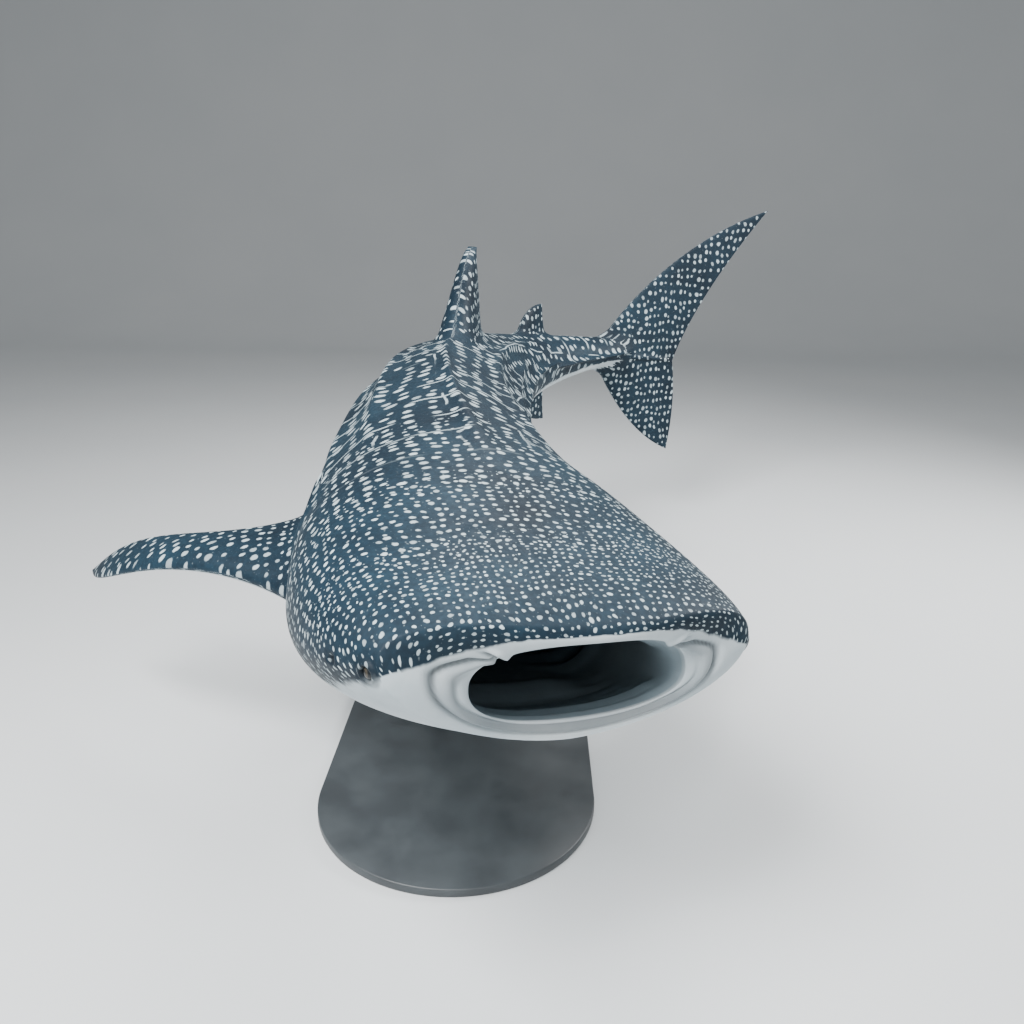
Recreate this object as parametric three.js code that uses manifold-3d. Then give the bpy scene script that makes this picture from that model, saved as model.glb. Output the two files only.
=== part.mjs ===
// A life-size model of a whale shark that swims with its mouth open, on a plain display stand.
// Millimetres, +Z up. The snout points to -Y, the shark's left side lies to +X, and the body
// bends to the left. The origin is the middle of the stand's underside.
import * as THREE from 'three';
import { mergeVertices } from 'three/addons/utils/BufferGeometryUtils.js';
import Module from 'manifold-3d';

const wasm = await Module();
wasm.setup();

// Driving sizes. A station is a distance along the body from the front of the upper lip.
// Stations and body sizes are fractions of LENGTH, angles are in degrees.
const LENGTH = 7000;
const NOSE = new THREE.Vector3(-630, -2100, 1500);
const GAP = 0.6 / LENGTH;
const CLEARANCE = 0.4 / LENGTH;

// How the middle line turns to the left, dips and banks
const TURN = spline(
  [0, 0.2, 0.36, 0.5, 0.6, 0.7, 0.8, 1],
  [-0.5, 16.2, 26, 42, 53.5, 73.5, 90.5, 111.5],
);
const DIP = spline([0, 0.2, 0.5, 1], [-16, 0.2, 6, -4]);
const BANK = spline([0, 0.5, 1], [-8.2, -3.4, 0.5]);

// The body's sections: widest half-width, back and belly heights, level of the widest place,
// and how square the upper and lower halves are
const STATIONS = [
  0, 0.012, 0.03, 0.06, 0.1, 0.15, 0.2, 0.26,
  0.33, 0.42, 0.5, 0.58, 0.66, 0.73, 0.79, 0.835,
];
const HALF_WIDTH = spline(
  STATIONS,
  [
    0.083, 0.0895, 0.0985, 0.1055, 0.106, 0.102, 0.095, 0.089,
    0.081, 0.072, 0.061, 0.0475, 0.0335, 0.025, 0.018, 0.006,
  ],
);
const BACK = spline(
  STATIONS,
  [
    0, 0.011, 0.0215, 0.0355, 0.0505, 0.0635, 0.0705, 0.076,
    0.078, 0.0755, 0.0655, 0.051, 0.035, 0.0245, 0.0175, 0.017,
  ],
);
const BELLY = spline(
  STATIONS,
  [
    0.0375, 0.0455, 0.051, 0.0592, 0.069, 0.077, 0.081, 0.08,
    0.075, 0.067, 0.057, 0.0445, 0.032, 0.022, 0.0155, 0.016,
  ],
);
const WIDEST_LEVEL = spline([0, 0.1, 0.2, 0.33, 0.45, 0.8], [-0.008, -0.014, -0.015, -0.01, -0.002, 0]);
const UPPER_SQUARENESS = spline([0, 0.12, 0.25, 0.4, 0.6, 0.8], [2.6, 2.45, 1.85, 1.72, 1.85, 2]);
const LOWER_SQUARENESS = spline([0, 0.033, 0.06, 0.1, 0.2, 0.4, 0.8], [1.8, 1.7, 1.72, 1.9, 2.15, 2.2, 2]);

// Ridges along the flanks and the back: angle round the section, first and last station, height
const RIDGES = [
  { angle: 90, first: 0.1, last: 0.5, height: 0.005 },
  { angle: 52.5, first: 0.17, last: 0.7, height: 0.0055 },
  { angle: 30, first: 0.18, last: 0.62, height: 0.0045 },
  { angle: 7.5, first: 0.24, last: 0.74, height: 0.005 },
  { angle: 0, first: 0.66, last: 0.825, height: 0.01 },
];
const RIDGE_SPREAD = 4;

// Mouth: the lips' outer edge, and the hollow behind it
const SNOUT_CORNER = 0.0118;
const LOWER_LIP = 0.022;
const LIP_BULGE = 0.0035;
const MOUTH_STATIONS = [0, 0.03, 0.06, 0.1, 0.14, 0.165];
const MOUTH_HALF_WIDTH = spline(MOUTH_STATIONS, [0.057, 0.0525, 0.0565, 0.056, 0.047, 0.03]);
const MOUTH_ROOF = spline(MOUTH_STATIONS, [-0.004, -0.002, 0.002, 0.006, 0.004, -0.008]);
const MOUTH_FLOOR = spline(MOUTH_STATIONS, [-0.038, -0.0415, -0.048, -0.053, -0.05, -0.04]);
const MOUTH_SQUARENESS = 2.3;
const MOUTH_END = 0.165;
const THROAT = { station: 0.175, level: -0.022, narrowing: 0.15 };

// Where the body is parted
const HEAD_END = 0.135;
const CUTS = [HEAD_END, 0.29, 0.42, 0.57, 0.7, 0.83];
const STEPS = [6, 5, 6, 5, 5];
const HEAD_STEPS = 6;
const HEAD_CROWDING = 1.7;
const JAW_LEVEL = -0.0195;

// Facets
const AROUND = 48;
const FIN_AROUND = 12;
const FIN_RINGS = 6;
const FIN_CROWDING = 1.4;

const rad = THREE.MathUtils.degToRad;
const lerp = THREE.MathUtils.lerp;

// Natural cubic spline through the given points
function spline(xs, ys) {
  const n = xs.length;
  const bend = new Array(n).fill(0);
  const work = new Array(n).fill(0);
  for (let i = 1; i < n - 1; i += 1) {
    const ratio = (xs[i] - xs[i - 1]) / (xs[i + 1] - xs[i - 1]);
    const p = ratio * bend[i - 1] + 2;
    const change = (ys[i + 1] - ys[i]) / (xs[i + 1] - xs[i]) - (ys[i] - ys[i - 1]) / (xs[i] - xs[i - 1]);
    bend[i] = (ratio - 1) / p;
    work[i] = ((6 * change) / (xs[i + 1] - xs[i - 1]) - ratio * work[i - 1]) / p;
  }
  for (let i = n - 2; i >= 0; i -= 1) bend[i] = bend[i] * bend[i + 1] + work[i];
  return (x) => {
    let i = 0;
    while (i < n - 2 && x > xs[i + 1]) i += 1;
    const step = xs[i + 1] - xs[i];
    const t = THREE.MathUtils.clamp((x - xs[i]) / step, 0, 1);
    const cubic = ((1 - t) ** 3 - (1 - t)) * bend[i] + (t ** 3 - t) * bend[i + 1];
    return (1 - t) * ys[i] + t * ys[i + 1] + (cubic * step * step) / 6;
  };
}

// The body's axes at a station: back along the body, to its left, and up
function axesAt(s) {
  const turn = rad(TURN(s));
  const dip = rad(DIP(s));
  const level = Math.cos(dip);
  const back = new THREE.Vector3(Math.sin(turn) * level, Math.cos(turn) * level, Math.sin(dip));
  const left = new THREE.Vector3(Math.cos(turn), -Math.sin(turn), 0);
  const up = new THREE.Vector3().crossVectors(left, back);
  left.applyAxisAngle(back, rad(-BANK(s)));
  up.applyAxisAngle(back, rad(-BANK(s)));
  return { back, left, up };
}

// The middle line, added up in small steps from the nose
const MIDDLE_STEP = 0.005;
const TAIL_TIP = 1.05;
const middleLine = [NOSE.clone()];
for (let s = 0; s < TAIL_TIP; s += MIDDLE_STEP) {
  const last = middleLine[middleLine.length - 1];
  middleLine.push(last.clone().addScaledVector(axesAt(s + MIDDLE_STEP / 2).back, MIDDLE_STEP * LENGTH));
}

function middleAt(s) {
  const k = THREE.MathUtils.clamp(s / MIDDLE_STEP, 0, middleLine.length - 2);
  const i = Math.floor(k);
  return middleLine[i].clone().lerp(middleLine[i + 1], k - i);
}

// The point at a station, a distance to the left of the middle line and a height over it
function place(s, x, h) {
  const { left, up } = axesAt(s);
  return middleAt(s).addScaledVector(left, x * LENGTH).addScaledVector(up, h * LENGTH);
}

// The same, in the straight frame of one station, for fins that don't bend with the body
function placeFrom(s, back, x, h) {
  return place(s, x, h).addScaledVector(axesAt(s).back, back * LENGTH);
}

// Signed power, which makes a circle into a squarer or sharper round
const power = (value, squareness) => Math.sign(value) * Math.abs(value) ** (2 / squareness);

// Smooth rise from 0 to 1 between two stations
const rise = (s, from, to) => THREE.MathUtils.smoothstep(s, from, to);

// Height of the ridges at a station and an angle. Each fades in and out over a quarter of its length.
function ridgeHeight(s, angle) {
  let total = 0;
  for (const ridge of RIDGES) {
    const length = 0.25 * (ridge.last - ridge.first);
    const fade = rise(s, ridge.first, ridge.first + length) * (1 - rise(s, ridge.last - length, ridge.last));
    for (const side of ridge.angle === 90 ? [90] : [ridge.angle, 180 - ridge.angle]) {
      const away = Math.abs(((angle - side + 540) % 360) - 180) / RIDGE_SPREAD;
      total += (fade * ridge.height) / (1 + away * away);
    }
  }
  return total;
}

// Outline of the body at a station: a rounded oval whose halves differ, with ridges on it
function bodyPoint(s, angle, grow = 0) {
  const c = Math.cos(rad(angle));
  const d = Math.sin(rad(angle));
  const level = WIDEST_LEVEL(s);
  const square = d > 0 ? UPPER_SQUARENESS(s) : LOWER_SQUARENESS(s);
  const tall = d > 0 ? BACK(s) - level : BELLY(s) + level;
  const out = ridgeHeight(s, angle) + grow;
  return [HALF_WIDTH(s) * power(c, square) + out * c, level + tall * power(d, square) + out * d];
}

// Station of the front edge at an angle: a shallow arc across the snout, and the lower lip set back
function frontEdge(angle) {
  const c = Math.abs(Math.cos(rad(angle)));
  const d = Math.sin(rad(angle));
  if (d > 0) return LIP_BULGE + SNOUT_CORNER * c ** 1.6;
  return LIP_BULGE + SNOUT_CORNER + (LOWER_LIP - SNOUT_CORNER) * d * d;
}

function mouthPoint(s, angle) {
  const roof = MOUTH_ROOF(s);
  const floor = MOUTH_FLOOR(s);
  const x = MOUTH_HALF_WIDTH(s) * power(Math.cos(rad(angle)), MOUTH_SQUARENESS);
  return [x, (roof + floor) / 2 + ((roof - floor) / 2) * power(Math.sin(rad(angle)), MOUTH_SQUARENESS)];
}

// One loop of points round the body, from a function of the angle
const angles = Array.from({ length: AROUND }, (_, i) => (i * 360) / AROUND);
const loop = (pointAt) => angles.map(pointAt);

const bodyLoop = (s, grow = 0) => loop((angle) => place(s, ...bodyPoint(s, angle, grow)));
const throatEnd = place(THROAT.station, 0, THROAT.level);

// Loops over the head's outside, from a station forward to the lips' edge
function headLoops(end, steps, grow = 0) {
  return Array.from({ length: steps + 1 }, (_, k) => loop((angle) => {
    const edge = frontEdge(angle);
    const s = edge + (end - edge) * (1 - k / steps) ** HEAD_CROWDING;
    return place(s, ...bodyPoint(s, angle, grow));
  }));
}

// Loops that roll round the lips, half an oval from the outside to the mouth's inner edge.
// The oval's front follows the skin's direction over the last LIP_TANGENT.
const LIP_TANGENT = 0.004;

function lipLoops(steps) {
  return Array.from({ length: steps - 1 }, (_, k) => loop((angle) => {
    const turn = (Math.PI * (k + 1)) / steps;
    const edge = frontEdge(angle);
    const outer = place(edge, ...bodyPoint(edge, angle));
    const behind = place(edge + LIP_TANGENT, ...bodyPoint(edge + LIP_TANGENT, angle));
    const inner = place(edge, ...mouthPoint(edge, angle));
    const forward = outer.clone().sub(behind).setLength(LIP_BULGE * LENGTH);
    const point = outer.clone().add(inner).multiplyScalar(0.5);
    point.addScaledVector(outer.sub(inner), Math.cos(turn) / 2);
    return point.addScaledVector(forward, Math.sin(turn));
  }));
}

// Loops along the mouth's inside, from the lips back to a station
function mouthLoops(end, steps) {
  return Array.from({ length: steps + 1 }, (_, k) => loop((angle) => {
    const edge = frontEdge(angle);
    const s = edge + ((end - edge) * k) / steps;
    return place(s, ...mouthPoint(s, angle));
  }));
}

// A closed solid over a row of loops. Its ends are capped, or the last loop meets the first.
function solidOf(loops, { ring = false, first = null, last = null } = {}) {
  const around = loops[0].length;
  const points = loops.flat();
  const faces = [];
  const strip = (a, b) => {
    for (let i = 0; i < around; i += 1) {
      const j = (i + 1) % around;
      faces.push([a + i, b + i, b + j], [a + i, b + j, a + j]);
    }
  };
  for (let k = 0; k < loops.length - 1; k += 1) strip(k * around, (k + 1) * around);
  if (ring) strip((loops.length - 1) * around, 0);
  const cap = (start, centre, flip) => {
    const middle = new THREE.Vector3();
    for (let i = 0; i < around; i += 1) middle.addScaledVector(points[start + i], 1 / around);
    points.push(centre ?? middle);
    for (let i = 0; i < around; i += 1) {
      const pair = flip ? [start + ((i + 1) % around), start + i] : [start + i, start + ((i + 1) % around)];
      faces.push([points.length - 1, ...pair]);
    }
  };
  if (!ring) {
    cap(0, first, false);
    cap((loops.length - 1) * around, last, true);
  }
  let volume = 0;
  for (const [a, b, c] of faces) volume += points[a].dot(points[b].clone().cross(points[c]));
  const triangles = volume > 0 ? faces : faces.map(([a, b, c]) => [a, c, b]);
  return new wasm.Manifold(new wasm.Mesh({
    numProp: 3,
    vertProperties: new Float32Array(points.flatMap((p) => [p.x, p.y, p.z])),
    triVerts: new Uint32Array(triangles.flat()),
  }));
}

// A three.js geometry, moved into place, as a solid
function solidFrom(geometry, matrix) {
  const plain = geometry.clone().applyMatrix4(matrix);
  plain.deleteAttribute('normal');
  plain.deleteAttribute('uv');
  const merged = mergeVertices(plain, 1e-4);
  return new wasm.Manifold(new wasm.Mesh({
    numProp: 3,
    vertProperties: new Float32Array(merged.attributes.position.array),
    triVerts: new Uint32Array(merged.index.array),
  }));
}

// Stations at even steps between two cuts, less half the gap at each end
function stationsBetween(from, to, steps) {
  return Array.from({ length: steps + 1 }, (_, k) => lerp(from + GAP / 2, to - GAP / 2, k / steps));
}

// Stations of the length between one cut and the next
const lengthStations = (index) => stationsBetween(CUTS[index], CUTS[index + 1], STEPS[index]);
const lengthOfBody = (index) => solidOf(lengthStations(index).map((s) => bodyLoop(s)));

// A little larger copy of the body, which is cut away from whatever meets the body
const grownBody = solidOf([
  ...headLoops(HEAD_END - GAP / 2, HEAD_STEPS, CLEARANCE).reverse(),
  ...[...STEPS.keys()].flatMap(lengthStations).concat(CUTS[5]).map((s) => bodyLoop(s, CLEARANCE)),
]);

// The head, with the mouth's hollow, and the parting of the jaws
function makeHead() {
  const end = HEAD_END - GAP / 2;
  return solidOf([...headLoops(end, HEAD_STEPS), ...lipLoops(3), ...mouthLoops(end, 4)], { ring: true });
}

function jawSide(side) {
  const size = 0.5 * LENGTH;
  const { back, left, up } = axesAt(0.06);
  const matrix = new THREE.Matrix4().makeBasis(left, back, up);
  const offset = side * (size / 2 + (GAP / 2) * LENGTH);
  matrix.setPosition(place(0.06, 0, JAW_LEVEL).addScaledVector(up, offset));
  return solidFrom(new THREE.BoxGeometry(size, size, size), matrix);
}

// The eyes sit low on the sides of the head, sunk in close sockets
const EYE = { station: 0.021, angle: -7, radius: 0.0032, sunk: 0.0014 };

function eyeCentre(side) {
  const angle = side > 0 ? EYE.angle : 180 - EYE.angle;
  return place(EYE.station, ...bodyPoint(EYE.station, angle, -EYE.sunk));
}

const eyeBall = (side, grow) => solidFrom(
  new THREE.SphereGeometry((EYE.radius + grow) * LENGTH, 12, 8),
  new THREE.Matrix4().setPosition(eyeCentre(side)),
);

// Five long gill slits a side, over the pectoral fins: blades that follow the flank
const SLITS = {
  count: 5,
  first: 0.17,
  last: 0.243,
  top: 34,
  bottom: -28,
  depth: 0.012,
  outside: 0.004,
  width: 0.002,
  lean: 0.014,
  bow: 0.006,
};

function gillSlit(index, side) {
  const s = lerp(SLITS.first, SLITS.last, index / (SLITS.count - 1));
  const steps = 3;
  const loops = Array.from({ length: steps + 1 }, (_, k) => {
    const t = k / steps;
    const angle = lerp(SLITS.top - 2 * index, SLITS.bottom + 4 * index, t);
    const turned = side > 0 ? angle : 180 - angle;
    const middle = s + SLITS.lean * (0.5 - t);
    const bow = SLITS.bow * (1 - (2 * t - 1) ** 2);
    const half = SLITS.width / 2;
    const { depth, outside } = SLITS;
    const corners = [[-half, outside], [half, outside], [half, -depth], [-half, -depth]];
    return corners.map(([along, out]) => {
      const station = middle + bow + along;
      return place(station, ...bodyPoint(station, turned, out));
    });
  });
  return solidOf(loops);
}

function makeGillRegion() {
  const front = HEAD_END + GAP / 2;
  const outside = lengthStations(0).map((s) => bodyLoop(s));
  const hollow = (s) => loop((angle) => place(s, ...mouthPoint(s, angle)));
  const inside = [MOUTH_END, THROAT.narrowing, front].map(hollow);
  let solid = solidOf([...inside, ...outside], { first: throatEnd });
  for (const side of [1, -1]) {
    for (let i = 0; i < SLITS.count; i += 1) solid = solid.subtract(gillSlit(i, side));
  }
  return solid;
}

// A fin between two edge curves that meet at its tip. Each section is a drop, thickest before
// its middle, and the fin thins towards the tip.
const DROP_TAPER = 0.55;
const DROP_FULLNESS = 1.3;
const TIP_THICKNESS = 0.15;
const FIN_THINNING = 0.5;

// Edges are lists of four curve points [chord, span], and put turns chord, span and side into a place
function makeFin({ front, rear, thickness, put }) {
  const curve = (points) => new THREE.CubicBezierCurve(...points.map(([a, b]) => new THREE.Vector2(a, b)));
  const leading = curve(front);
  const trailing = curve(rear);
  const loops = Array.from({ length: FIN_RINGS }, (_, k) => {
    const u = 1 - (1 - k / FIN_RINGS) ** FIN_CROWDING;
    const a = leading.getPoint(u);
    const b = trailing.getPoint(u);
    const half = (thickness / 2) * lerp(1, TIP_THICKNESS, u ** FIN_THINNING);
    return Array.from({ length: FIN_AROUND }, (__, i) => {
      const turn = (2 * Math.PI * i) / FIN_AROUND;
      const along = (1 - Math.cos(turn)) / 2;
      const side = half * Math.sin(turn) * (1 - DROP_TAPER * along) * DROP_FULLNESS;
      const point = a.clone().lerp(b, along);
      return put(point.x, point.y, side);
    });
  });
  const end = leading.getPoint(1);
  return solidOf(loops, { last: put(end.x, end.y, 0) });
}

const onBack = (chord, span, side) => place(chord, side, span);

// A paired fin's plane leans out from the body by its droop, and twists a little about its span
const pairedFin = (side, { station, x, level, droop, twist, curl, reach }) => (chord, span, thick) => {
  const out = span * Math.cos(rad(droop)) - thick * Math.sin(rad(droop));
  const down = span * Math.sin(rad(droop)) + thick * Math.cos(rad(droop)) + curl * (span / reach) ** 3;
  const drop = down + (chord - station) * Math.tan(rad(twist));
  return placeFrom(station, chord - station, side * (x + out), level - drop);
};

const FINS = {
  first_dorsal_fin: {
    front: [[0.412, 0.052], [0.472, 0.088], [0.482, 0.134], [0.527, 0.1395]],
    rear: [[0.551, 0.052], [0.545, 0.075], [0.54, 0.125], [0.527, 0.1395]],
    thickness: 0.052,
    put: onBack,
  },
  second_dorsal_fin: {
    front: [[0.634, 0.018], [0.65, 0.052], [0.665, 0.065], [0.69, 0.064]],
    rear: [[0.706, 0.018], [0.688, 0.036], [0.694, 0.06], [0.69, 0.064]],
    thickness: 0.018,
    put: onBack,
  },
  anal_fin: {
    front: [[0.634, -0.016], [0.65, -0.048], [0.668, -0.064], [0.694, -0.064]],
    rear: [[0.7, -0.016], [0.688, -0.036], [0.696, -0.06], [0.694, -0.064]],
    thickness: 0.016,
    put: onBack,
  },
  caudal_fin_upper: {
    front: [[0.77, 0], [0.815, 0.055], [0.9, 0.13], [0.985, 0.165]],
    rear: [[0.885, -0.014], [0.9, 0.03], [0.935, 0.09], [0.985, 0.165]],
    thickness: 0.027,
    put: onBack,
  },
  caudal_fin_lower: {
    front: [[0.77, -0.0002], [0.795, -0.05], [0.835, -0.105], [0.887, -0.125]],
    rear: [[0.885, -0.0142], [0.893, -0.05], [0.893, -0.09], [0.887, -0.125]],
    thickness: 0.027,
    put: onBack,
  },
};

const PECTORAL = {
  front: [[0.176, -0.03], [0.256, 0.0186], [0.245, 0.107], [0.373, 0.1434]],
  rear: [[0.2844, -0.03], [0.26, 0.0446], [0.3075, 0.0852], [0.373, 0.1434]],
  thickness: 0.028,
  pose: { station: 0.25, x: 0.113, level: -0.0333, droop: 13, twist: -13, curl: 0.0731, reach: 0.1434 },
};
const PELVIC = {
  front: [[0.505, -0.02], [0.515, 0.012], [0.53, 0.035], [0.552, 0.046]],
  rear: [[0.548, -0.02], [0.545, 0.005], [0.547, 0.028], [0.552, 0.046]],
  thickness: 0.012,
  pose: { station: 0.53, x: 0.034, level: -0.038, droop: 48, twist: 4, curl: 0, reach: 0.046 },
};

// Stand: a flat plate with round ends under the body, and two rods with foot flanges
const PLATE = { length: 3000, width: 1300, thickness: 40 };
const ROD = { radius: 45, flangeRadius: 110, flangeHeight: 18, stations: [0.3, 0.5] };
const REST = 0.4;

function rodFoot(station) {
  return middleAt(station).setZ(0);
}

function makePlate(direction) {
  const straight = PLATE.length / 2 - PLATE.width / 2;
  const shape = new THREE.Shape();
  shape.moveTo(-straight, -PLATE.width / 2);
  shape.lineTo(straight, -PLATE.width / 2);
  shape.absarc(straight, 0, PLATE.width / 2, -Math.PI / 2, Math.PI / 2);
  shape.lineTo(-straight, PLATE.width / 2);
  shape.absarc(-straight, 0, PLATE.width / 2, Math.PI / 2, (3 * Math.PI) / 2);
  const options = { depth: PLATE.thickness, bevelEnabled: false, curveSegments: 16 };
  const geometry = new THREE.ExtrudeGeometry(shape, options);
  return solidFrom(geometry, new THREE.Matrix4().makeRotationZ(direction));
}

function makeRod(station) {
  const { radius, flangeRadius, flangeHeight } = ROD;
  const top = middleAt(station).z;
  const base = PLATE.thickness + REST;
  const profile = [[0, base], [flangeRadius, base], [flangeRadius, base + flangeHeight]];
  profile.push([radius, base + flangeHeight], [radius, top], [0, top]);
  const geometry = new THREE.LatheGeometry(profile.map(([r, z]) => new THREE.Vector2(r, z)), 24);
  const upright = new THREE.Matrix4().makeRotationX(Math.PI / 2).setPosition(rodFoot(station));
  return solidFrom(geometry, upright).subtract(grownBody);
}

// The finished model: one mesh a part
const model = new THREE.Group();
const finishes = {
  skin: { color: '#2b4a5f', roughness: 0.5, metalness: 0 },
  eye: { color: '#0d1114', roughness: 0.1, metalness: 0 },
  stand: { color: '#3c4043', roughness: 0.45, metalness: 0.8 },
};

function add(name, solid, finish) {
  const { vertProperties, triVerts } = solid.getMesh();
  const geometry = new THREE.BufferGeometry();
  geometry.setAttribute('position', new THREE.BufferAttribute(vertProperties, 3));
  geometry.setIndex(new THREE.BufferAttribute(triVerts, 1));
  const mesh = new THREE.Mesh(geometry, new THREE.MeshStandardMaterial(finishes[finish]));
  mesh.name = name;
  model.add(mesh);
}

const head = makeHead().subtract(eyeBall(1, CLEARANCE)).subtract(eyeBall(-1, CLEARANCE));
add('head_upper', head.intersect(jawSide(1)), 'skin');
add('lower_jaw', head.intersect(jawSide(-1)), 'skin');
add('eye_left', eyeBall(1, 0), 'eye');
add('eye_right', eyeBall(-1, 0), 'eye');
add('gill_region', makeGillRegion(), 'skin');
add('trunk_front', lengthOfBody(1), 'skin');
add('trunk_mid', lengthOfBody(2), 'skin');
add('trunk_rear', lengthOfBody(3), 'skin');
add('tail_stock', lengthOfBody(4), 'skin');

for (const [name, fin] of Object.entries(FINS)) add(name, makeFin(fin).subtract(grownBody), 'skin');
for (const [label, side] of [['left', 1], ['right', -1]]) {
  const pectoral = makeFin({ ...PECTORAL, put: pairedFin(side, PECTORAL.pose) });
  const pelvic = makeFin({ ...PELVIC, put: pairedFin(side, PELVIC.pose) });
  add(`pectoral_fin_${label}`, pectoral.subtract(grownBody), 'skin');
  add(`pelvic_fin_${label}`, pelvic.subtract(grownBody), 'skin');
}

const feet = ROD.stations.map(rodFoot);
add('stand_base', makePlate(Math.atan2(feet[1].y - feet[0].y, feet[1].x - feet[0].x)), 'stand');
add('stand_rod_front', makeRod(ROD.stations[0]), 'stand');
add('stand_rod_rear', makeRod(ROD.stations[1]), 'stand');

export default model;
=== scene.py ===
"""A life-size museum model of a whale shark, swimming with its mouth open, on a plain stand."""

import bmesh
import bpy
import numpy as np
from mathutils import Matrix, Vector


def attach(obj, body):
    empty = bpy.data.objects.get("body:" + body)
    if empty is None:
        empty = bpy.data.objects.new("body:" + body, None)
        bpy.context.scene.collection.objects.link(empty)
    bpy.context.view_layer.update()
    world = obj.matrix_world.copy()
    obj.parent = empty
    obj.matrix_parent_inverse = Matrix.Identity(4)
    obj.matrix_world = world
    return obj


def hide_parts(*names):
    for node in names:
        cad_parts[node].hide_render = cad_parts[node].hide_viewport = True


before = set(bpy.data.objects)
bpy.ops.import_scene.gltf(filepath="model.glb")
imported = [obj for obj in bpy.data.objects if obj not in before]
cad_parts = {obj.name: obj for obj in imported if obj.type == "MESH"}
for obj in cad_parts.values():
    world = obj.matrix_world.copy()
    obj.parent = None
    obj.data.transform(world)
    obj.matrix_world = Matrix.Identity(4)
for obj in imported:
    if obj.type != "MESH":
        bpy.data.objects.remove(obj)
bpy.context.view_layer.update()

# Driving sizes, in metres. A station is a distance along the body from the front of the upper
# lip. Stations and body sizes are fractions of LENGTH, angles are in degrees.
LENGTH = 7.0
MM = 0.001 / LENGTH
NOSE = np.array([-0.63, -2.1, 1.5])


def spline(xs, ys):
    """Natural cubic spline through the given points, held at its end values outside them."""
    xs, ys = np.array(xs, float), np.array(ys, float)
    steps = np.diff(xs)
    matrix, changes = np.eye(len(xs)), np.zeros(len(xs))
    inner = np.arange(1, len(xs) - 1)
    matrix[inner, inner - 1] = steps[:-1]
    matrix[inner, inner] = 2 * (steps[:-1] + steps[1:])
    matrix[inner, inner + 1] = steps[1:]
    changes[inner] = 6 * np.diff(np.diff(ys) / steps)
    bends = np.linalg.solve(matrix, changes)

    def value(x):
        x = np.clip(x, xs[0], xs[-1])
        i = np.clip(np.searchsorted(xs, x) - 1, 0, len(xs) - 2)
        t = (x - xs[i]) / steps[i]
        cubic = ((1 - t) ** 3 - (1 - t)) * bends[i] + (t**3 - t) * bends[i + 1]
        return (1 - t) * ys[i] + t * ys[i + 1] + cubic * steps[i] ** 2 / 6

    return value


# How the middle line turns to the left, dips and banks
TURN = spline([0, 0.2, 0.36, 0.5, 0.6, 0.7, 0.8, 1], [-0.5, 16.2, 26, 42, 53.5, 73.5, 90.5, 111.5])
DIP = spline([0, 0.2, 0.5, 1], [-16, 0.2, 6, -4])
BANK = spline([0, 0.5, 1], [-8.2, -3.4, 0.5])

# The body's sections: widest half-width, back and belly heights, level of the widest place,
# and how square the upper and lower halves are
STATIONS = [0, 0.012, 0.03, 0.06, 0.1, 0.15, 0.2, 0.26, 0.33, 0.42, 0.5, 0.58, 0.66, 0.73, 0.79, 0.835]
HALF_WIDTH = spline(STATIONS, [
    0.083, 0.0895, 0.0985, 0.1055, 0.106, 0.102, 0.095, 0.089,
    0.081, 0.072, 0.061, 0.0475, 0.0335, 0.025, 0.018, 0.006,
])
BACK = spline(STATIONS, [
    0, 0.011, 0.0215, 0.0355, 0.0505, 0.0635, 0.0705, 0.076,
    0.078, 0.0755, 0.0655, 0.051, 0.035, 0.0245, 0.0175, 0.017,
])
BELLY = spline(STATIONS, [
    0.0375, 0.0455, 0.051, 0.0592, 0.069, 0.077, 0.081, 0.08,
    0.075, 0.067, 0.057, 0.0445, 0.032, 0.022, 0.0155, 0.016,
])
WIDEST_LEVEL = spline([0, 0.1, 0.2, 0.33, 0.45, 0.8], [-0.008, -0.014, -0.015, -0.01, -0.002, 0])
UPPER_SQUARENESS = spline([0, 0.12, 0.25, 0.4, 0.6, 0.8], [2.6, 2.45, 1.85, 1.72, 1.85, 2])
LOWER_SQUARENESS = spline([0, 0.033, 0.06, 0.1, 0.2, 0.4, 0.8], [1.8, 1.7, 1.72, 1.9, 2.15, 2.2, 2])
BODY_END = 0.834

# Ridges along the flanks and the back: angle round the section, first and last station, height
RIDGES = [
    (90, 0.1, 0.5, 0.005),
    (52.5, 0.17, 0.7, 0.0055),
    (30, 0.18, 0.62, 0.0045),
    (7.5, 0.24, 0.74, 0.005),
    (0, 0.66, 0.825, 0.01),
]
RIDGE_SPREAD = 4

# Mouth: the lips' outer edge, and the hollow behind it
SNOUT_CORNER = 0.0118
LOWER_LIP = 0.022
LIP_BULGE = 0.0035
LIP_TANGENT = 0.004
MOUTH_STATIONS = [0, 0.03, 0.06, 0.1, 0.14, 0.165]
MOUTH_HALF_WIDTH = spline(MOUTH_STATIONS, [0.057, 0.0525, 0.0565, 0.056, 0.047, 0.03])
MOUTH_ROOF = spline(MOUTH_STATIONS, [-0.004, -0.002, 0.002, 0.006, 0.004, -0.008])
MOUTH_FLOOR = spline(MOUTH_STATIONS, [-0.038, -0.0415, -0.048, -0.053, -0.05, -0.04])
MOUTH_SQUARENESS = 2.3
MOUTH_END = 0.165
THROAT_STATION, THROAT_LEVEL = 0.175, -0.022

# Five gill slits a side, over the pectoral fins
SLITS = 5
SLIT_FIRST, SLIT_LAST = 0.17, 0.243
SLIT_TOP, SLIT_BOTTOM = 34, -28
SLIT_LEAN, SLIT_BOW = 0.014, 0.006

# Eyes, nostrils and spiracles, at (station, angle)
EYE, EYE_RADIUS, EYE_SUNK = (0.021, -7), 0.0032, 0.0014
EYE_INSET = 0.009
SPIRACLE = (0.038, -2)
NOSTRIL_ANGLE = 41

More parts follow.
